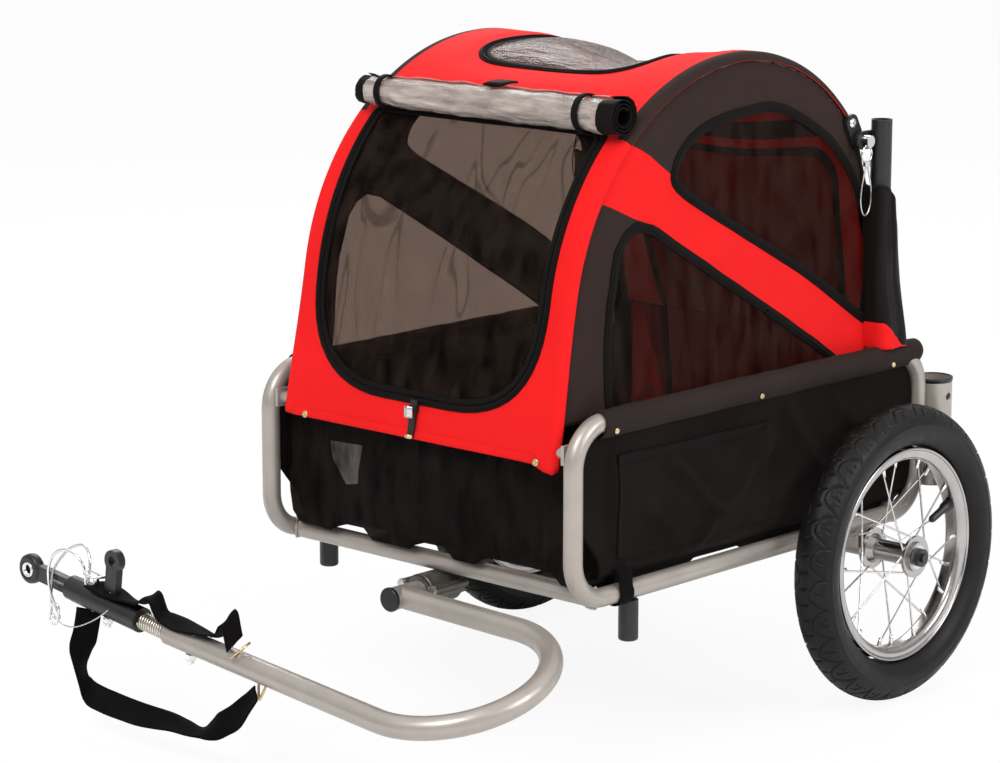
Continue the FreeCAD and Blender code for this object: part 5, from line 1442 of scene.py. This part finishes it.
# %% Lug bolts
LUG_BOLT = [(0.0, 0.0001), (0.0019, 0.0002), (0.0016, 0.0024), (0.0009, 0.0042), (0.0, 0.0050),
            (-0.0004, 0.0050), (-0.0004, 0.0001)]
LUG_Y, LUG_Z = 0.0036, 0.5751
lug_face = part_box("bow_lugs")[1][0]
lug_bolts = []
for sign in (1, -1):
    bolt = turned("lug_bolt", LUG_BOLT, CHROME, 28)
    lug_bolts.append(facing(bolt, sign, lug_face, LUG_Y, LUG_Z))
lug_bolt = as_one("lug_bolts", lug_bolts)
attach(lug_bolt, "canopy_frame")
print("bolts on", len(lug_bolts), "lugs")

# %% Socket rings
SOCKET_RING = [(-0.0034, 0.0196), (0.0002, 0.0200), (0.0013, 0.0195), (0.0014, 0.0184), (0.0008, 0.0177),
               (-0.0034, 0.0177)]
SOCKET_Y = 0.1239
socket_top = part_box("handle_sockets")[1][2]
socket_rings = []
for sign in (1, -1):
    ring = turned("socket_ring", SOCKET_RING, PLASTIC, 72, "Z")
    ring.data.transform(Matrix.Translation((sign * LOOP_X, SOCKET_Y, socket_top)))
    socket_rings.append(ring)
socket_ring = as_one("socket_rings", socket_rings)
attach(socket_ring, "chassis")
print("rings on", len(socket_rings), "sockets")

# %% [markdown]
# ## Receiver cover
# The arm's cross tube is held under the front rail by a bent steel strip. Its half-round middle is rolled
# from thin plate, so a single sheet bent through a little more than half a turn and given the plate's
# thickness shows its raw front edge.

# %% Receiver's half-round cover
COVER_R, COVER_Y, COVER_Z = 0.0162, -0.4265, 0.14825
COVER_ROWS, COVER_COLUMNS, ROW_LENGTH = 9, 33, 0.0051
cover_points = []
for j in range(COVER_ROWS):
    for k in range(COVER_COLUMNS):
        a = math.radians(-24 + 7 * k)
        x, z = COVER_R * math.cos(a), COVER_Z + COVER_R * math.sin(a)
        cover_points.append((x, COVER_Y + ROW_LENGTH * j, z))
cover = make_piece("receiver_cover", cover_points, grid_faces(COVER_ROWS, COVER_COLUMNS), SADDLE)
thicken(cover, 0.0018)
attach(cover, "chassis")
print("receiver cover", len(cover_points), "points")

# %% [markdown]
# ## Welds
# Where a rail meets a loop, a fillet of weld runs round the joint. It is a small ring with a rippled surface.

# %% Weld beads
TUBE_R, BEAD_R = 0.0091, 0.0095
BEAD_STEPS, BEAD_SIDES = 72, 8
beads = []
for y in (FRONT_Y + 0.033, REAR_Y - 0.033):
    for sign in (1, -1):
        points = []
        for i in range(BEAD_STEPS):
            a = 2 * math.pi * i / BEAD_STEPS
            depth = TUBE_R - math.sqrt(max(0.0, TUBE_R ** 2 - (TUBE_R * math.sin(a)) ** 2))
            fat = 0.0016 * (1 + 0.16 * math.sin(a * 22))
            for k in range(BEAD_SIDES):
                b = 2 * math.pi * k / BEAD_SIDES
                reach = BEAD_R + fat * math.cos(b)
                x = sign * (LOOP_X - TUBE_R - 0.0006 + depth * 0.92 + fat * math.sin(b))
                points.append((x, y + reach * math.cos(a), LOW_Z + reach * math.sin(a)))
        beads.append(make_piece("bead", points, grid_faces(BEAD_STEPS, BEAD_SIDES, True, True, True), SILVER))
weld = as_one("rail_welds", beads)
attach(weld, "chassis")

# %% [markdown]
# ## Safety strap
# The strap is a band of webbing looped under the hitch. It hangs flat-on to the front and twists where it
# turns, so it is made from stations, each with its middle and its way across.

# %% Lower strap
STRAP_STATIONS = [((-286, -598, 111), (0.74, 0.63, -0.22)), ((-288, -598, 102), (0.74, 0.63, -0.22)),
                  ((-291, -600, 84), (0.70, 0.65, -0.28)), ((-294, -603, 70), (0.2, 0.94, -0.26)),
                  ((-289, -608, 57), (-0.32, 0.92, -0.22)), ((-280, -612, 44), (-0.48, 0.86, 0.1)),
                  ((-267, -616, 35), (-0.2, 0.56, 0.81)), ((-243, -620, 33), (-0.1, 0.40, 0.92)),
                  ((-214, -622, 32), (-0.25, 0.50, 0.83)), ((-187, -624, 32), (-0.3, 0.55, 0.78)),
                  ((-160, -625, 33), (-0.45, 0.65, 0.62)), ((-135, -625, 34), (-0.51, 0.77, 0.40)),
                  ((-114, -624, 33), (-0.59, 0.75, 0.25)), ((-98, -622, 32), (-0.59, 0.80, 0.07)),
                  ((-86, -619, 36), (-0.58, 0.63, 0.52)), ((-73, -615, 44), (-0.24, 0.05, 0.97)),
                  ((-60, -611, 53), (-0.47, 0.18, 0.86)), ((-49, -607, 66), (-0.70, 0.50, 0.50)),
                  ((-40, -604, 78), (-0.74, 0.60, 0.30))]


def webbing_strap(name, stations, width, finish, per_run=6, wave=0.0):
    """A woven strap through stations. Returns the piece and its length."""
    middles = smooth_line([Vector(m) / 1000 for m, way in stations], per_run)
    ways = smooth_line([Vector(way) for m, way in stations], per_run)
    points, flats = [], []
    run = 0.0
    columns = 9
    for i, (middle, way) in enumerate(zip(middles, ways)):
        if i:
            run += (middle - middles[i - 1]).length
        along = middles[min(i + 1, len(middles) - 1)] - middles[max(i - 1, 0)]
        bow = way.cross(along).normalized()
        for k in range(columns):
            t = k / (columns - 1) - 0.5
            lift = bow * wave * math.cos(t * math.pi * 2 + run * 60)
            points.append(middle + way.normalized() * (t * width) + lift)
            flats.append((t * width, run))
    faces = grid_faces(len(middles), columns, False, False, True)
    return thicken(make_piece(name, points, faces, finish, flats), 0.0017), run


strap, strap_length = webbing_strap("safety_strap_webbing", STRAP_STATIONS, 0.025, WEBBING, 6, 0.0007)
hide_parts("safety_strap")
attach(strap, "hitch")
print("lower strap is", round(strap_length, 3), "m long")

# %% [markdown]
# ## Hitch
# The hitch is a black moulded housing with an upright ear, a forked arm with an eye, and a tin-plated spring
# between it and the tow arm. A second strap lies along its top, a bent-wire clip hangs on its pin, and plated
# nuts show underneath. Places are measured along the hitch from the end of the tow arm, so all these pieces
# follow one line.

# %% Upper strap
ARM_END = Vector((-0.16699, -0.59813, 0.11013))
HITCH_WAY, HITCH_UP = Vector((-0.99144, 0, 0.13053)), Vector((0.13053, 0, 0.99144))
ARM_WAY = Vector((-0.99489, 0.08884, 0.04788))


def by_hitch(along, up, sideways=0.0):
    """A place by its distance (mm) along the hitch from the arm's end, above its axis and to its side."""
    way = HITCH_WAY if along > 0 else ARM_WAY
    return ARM_END + (way * along + HITCH_UP * up + Vector((0, -sideways, 0))) / 1000


UPPER_ROUTE = [(112, 14.0, 3), (98, 14.6, 2), (80, 14.8, 1), (62, 14.6, 1), (48, 15.4, 0), (40, 19, 0),
               (33, 27, 0), (26, 29, 1), (20, 24, 1), (14, 17, 1), (5, 13.6, 0), (-14, 13.2, 0),
               (-38, 13.3, -1), (-60, 13.8, -1), (-72, 17, -1), (-80, 27, 0), (-87, 38, 1), (-93, 38, 2),
               (-99, 28, 3), (-105, 18, 4)]
upper_stations = []
for number, (along, up, sideways) in enumerate(UPPER_ROUTE):
    turn = 0.7 if along < -76 else 0.25 * math.sin(number * 1.3)
    across = (0.3 * math.sin(turn), math.cos(turn), math.sin(turn))
    upper_stations.append((by_hitch(along, up, sideways) * 1000, across))
upper, upper_length = webbing_strap("hitch_top_strap", upper_stations, 0.022, WEBBING, 6, 0.0008)
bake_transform(upper)
print("upper strap is", round(upper_length, 3), "m long")

# %% Nuts and bolt heads
def hex_nut(name, place, way, across_flats, length, finish):
    """A hexagon nut with rounded corners and a threaded end in it."""
    r = across_flats / math.sqrt(3)
    rings = [(0.0, r * 0.93), (length * 0.12, r), (length * 0.88, r), (length, r * 0.93)]
    angles = [math.radians(60 * k) for k in range(6)]
    points = [(radius * math.cos(a), radius * math.sin(a), up) for up, radius in rings for a in angles]
    ends = [tuple(reversed(range(6))), tuple(range(18, 24))]
    nut = make_piece(name, points, grid_faces(4, 6, False, True) + ends, finish, smooth=False)
    foot, face = length * 0.5, length * 0.9
    thread = [(face + 0.00035 * k, r * (0.52 if k % 2 else 0.47)) for k in range(14)]
    section = [(foot, 0.0002), (foot, r * 0.5)] + thread + [(face + 0.005, r * 0.4), (face + 0.005, 0.0002)]
    stud = turned(name + "_stud", section, finish, 24, "Z")
    return pointed(as_one(name, [nut, stud]), (0, 0, 1), Vector(way).normalized(), place)


BOLT_HEAD = [(0.0, 0.0001), (0.0032, 0.0002), (0.0028, 0.0035), (0.0014, 0.0052), (-0.0004, 0.0056),
             (-0.0004, 0.0001)]
for name, along, reach, body in (("housing_nut", 88, 12.4, "hitch"), ("arm_nut", -36, 11.0, "tow_arm")):
    nut = hex_nut(name, by_hitch(along, -reach), -HITCH_UP, 0.010, 0.006, CHROME)
    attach(nut, body)
    head = turned(name + "_head", BOLT_HEAD, CHROME, 24, "Z")
    pointed(head, (0, 0, 1), HITCH_UP, by_hitch(along - 4, reach))
    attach(head, body)
print("a bolt with its nut through the housing and one through the arm")

# %% Wire clip and cable
CLIP_WIRE = [(118, 13, 6), (122, 30, 7), (134, 40, 9), (150, 40, 11), (162, 30, 13), (166, 12, 14),
             (160, -8, 14), (150, -22, 14), (146, -30, 13), (153, -33, 12), (160, -27, 12), (164, -10, 10),
             (170, 10, 4), (166, 28, -6), (152, 40, -8), (136, 44, -6), (124, 36, -2), (119, 20, 2)]
CATCH_WIRE = [(146, -19, 15), (156, -17, 15), (158, -34, 15), (148, -37, 15)]
CABLE_ROUTE = [(160, -24, 14), (146, -34, 15), (124, -33, 16), (100, -20, 16), (80, -4, 14), (72, 8, 9),
               (70, 14, 2)]
clip_line = smooth_line([by_hitch(*p) for p in CLIP_WIRE], 6, True)
wire = round_bar("hitch_wire_clip", clip_line, 0.0014, CHROME, 10, True)
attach(wire, "hitch")
catch_line = smooth_line([by_hitch(*p) for p in CATCH_WIRE], 5, True)
catch = round_bar("hitch_wire_catch", catch_line, 0.0012, CHROME, 8, True)
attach(catch, "hitch")
cable = spline_cable("hitch_cable", "hitch_cable", [by_hitch(*p) for p in CABLE_ROUTE], 0.0007)
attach(cable, "hitch")
print("wire clip, its catch and a cable on the hitch")

# %% Eye and strap rings
EYE_BUSH = [(-0.0066, 0.0052), (-0.0066, 0.0074), (-0.0050, 0.0078), (0.0050, 0.0078), (0.0066, 0.0074),
            (0.0066, 0.0052)]
EYE_COLLAR = [(-0.0058, 0.0080), (-0.0058, 0.0128), (-0.0042, 0.0146), (0.0, 0.0152), (0.0042, 0.0146),
              (0.0058, 0.0128), (0.0058, 0.0080)]
EYE = by_hitch(207, 0)
bush = turned("eye_bush", EYE_BUSH, CHROME, 40, "Y")
collar = turned("eye_collar", EYE_COLLAR, PLASTIC, 48, "Y")
for piece in (bush, collar):
    piece.data.transform(Matrix.Translation(EYE))
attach(collar, "hitch")
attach(bush, "hitch")
RING_CORNERS = [(-0.011, 0.0), (0.011, 0.0), (0.0105, 0.006), (0.005, 0.014), (-0.005, 0.014),
                (-0.0105, 0.006)]
STRAP_RINGS = [(Vector((-0.037, -0.603, 0.082)), Vector((-0.6, 0.55, 0.55)), Vector((0.6, 0.1, 0.75))),
               (by_hitch(-112, 13, 3), Vector((0, 1, 0.4)), Vector((0.8, -0.3, 0.5)))]
for number, (center, across, up) in enumerate(STRAP_RINGS):
    across.normalize()
    up.normalize()
    line = smooth_line([center + across * a + up * u for a, u in RING_CORNERS], 5, True)
    clip = round_bar("strap_ring_%d" % number, line, 0.0013, BRASS, 10, True)
    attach(clip, "hitch" if number == 0 else "tow_arm")
print("bushed eye and", len(STRAP_RINGS), "strap rings")

# %% [markdown]
# ## Lanyards
# Thin steel cables loop down from the lock pins. They are cords, so each is one smooth spline
# through its route.

# %% Lanyards
LANYARD_HALF, LANYARD_DROP = 0.0095, 0.049
LANYARD_SHARES = ((0.13, 0), (0.55, 0.25), (0.9, 0.52), (0.92, 0.78), (0.45, 0.99), (-0.2, 1), (-0.78, 0.82),
                  (-0.95, 0.54), (-0.6, 0.24), (-0.16, 0))
for side in ("left", "right"):
    low, high = (Vector(p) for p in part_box("lanyard_" + side))
    pin_low, pin_high = (Vector(p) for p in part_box("lock_pin_" + side))
    x = (low.x + high.x) / 2
    top = high.z - 0.0002
    middle = (pin_low.y + pin_high.y) / 2
    route = [Vector((x, middle - a * LANYARD_HALF, top - d * LANYARD_DROP)) for a, d in LANYARD_SHARES]
    cable = spline_cable("lanyard_cable_" + side, "lanyard_" + side, route, 0.0008, 3)
    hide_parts("lanyard_" + side)
    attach(cable, "lock_pin_" + side)
    tuple(route[0])
print("lanyards hung")
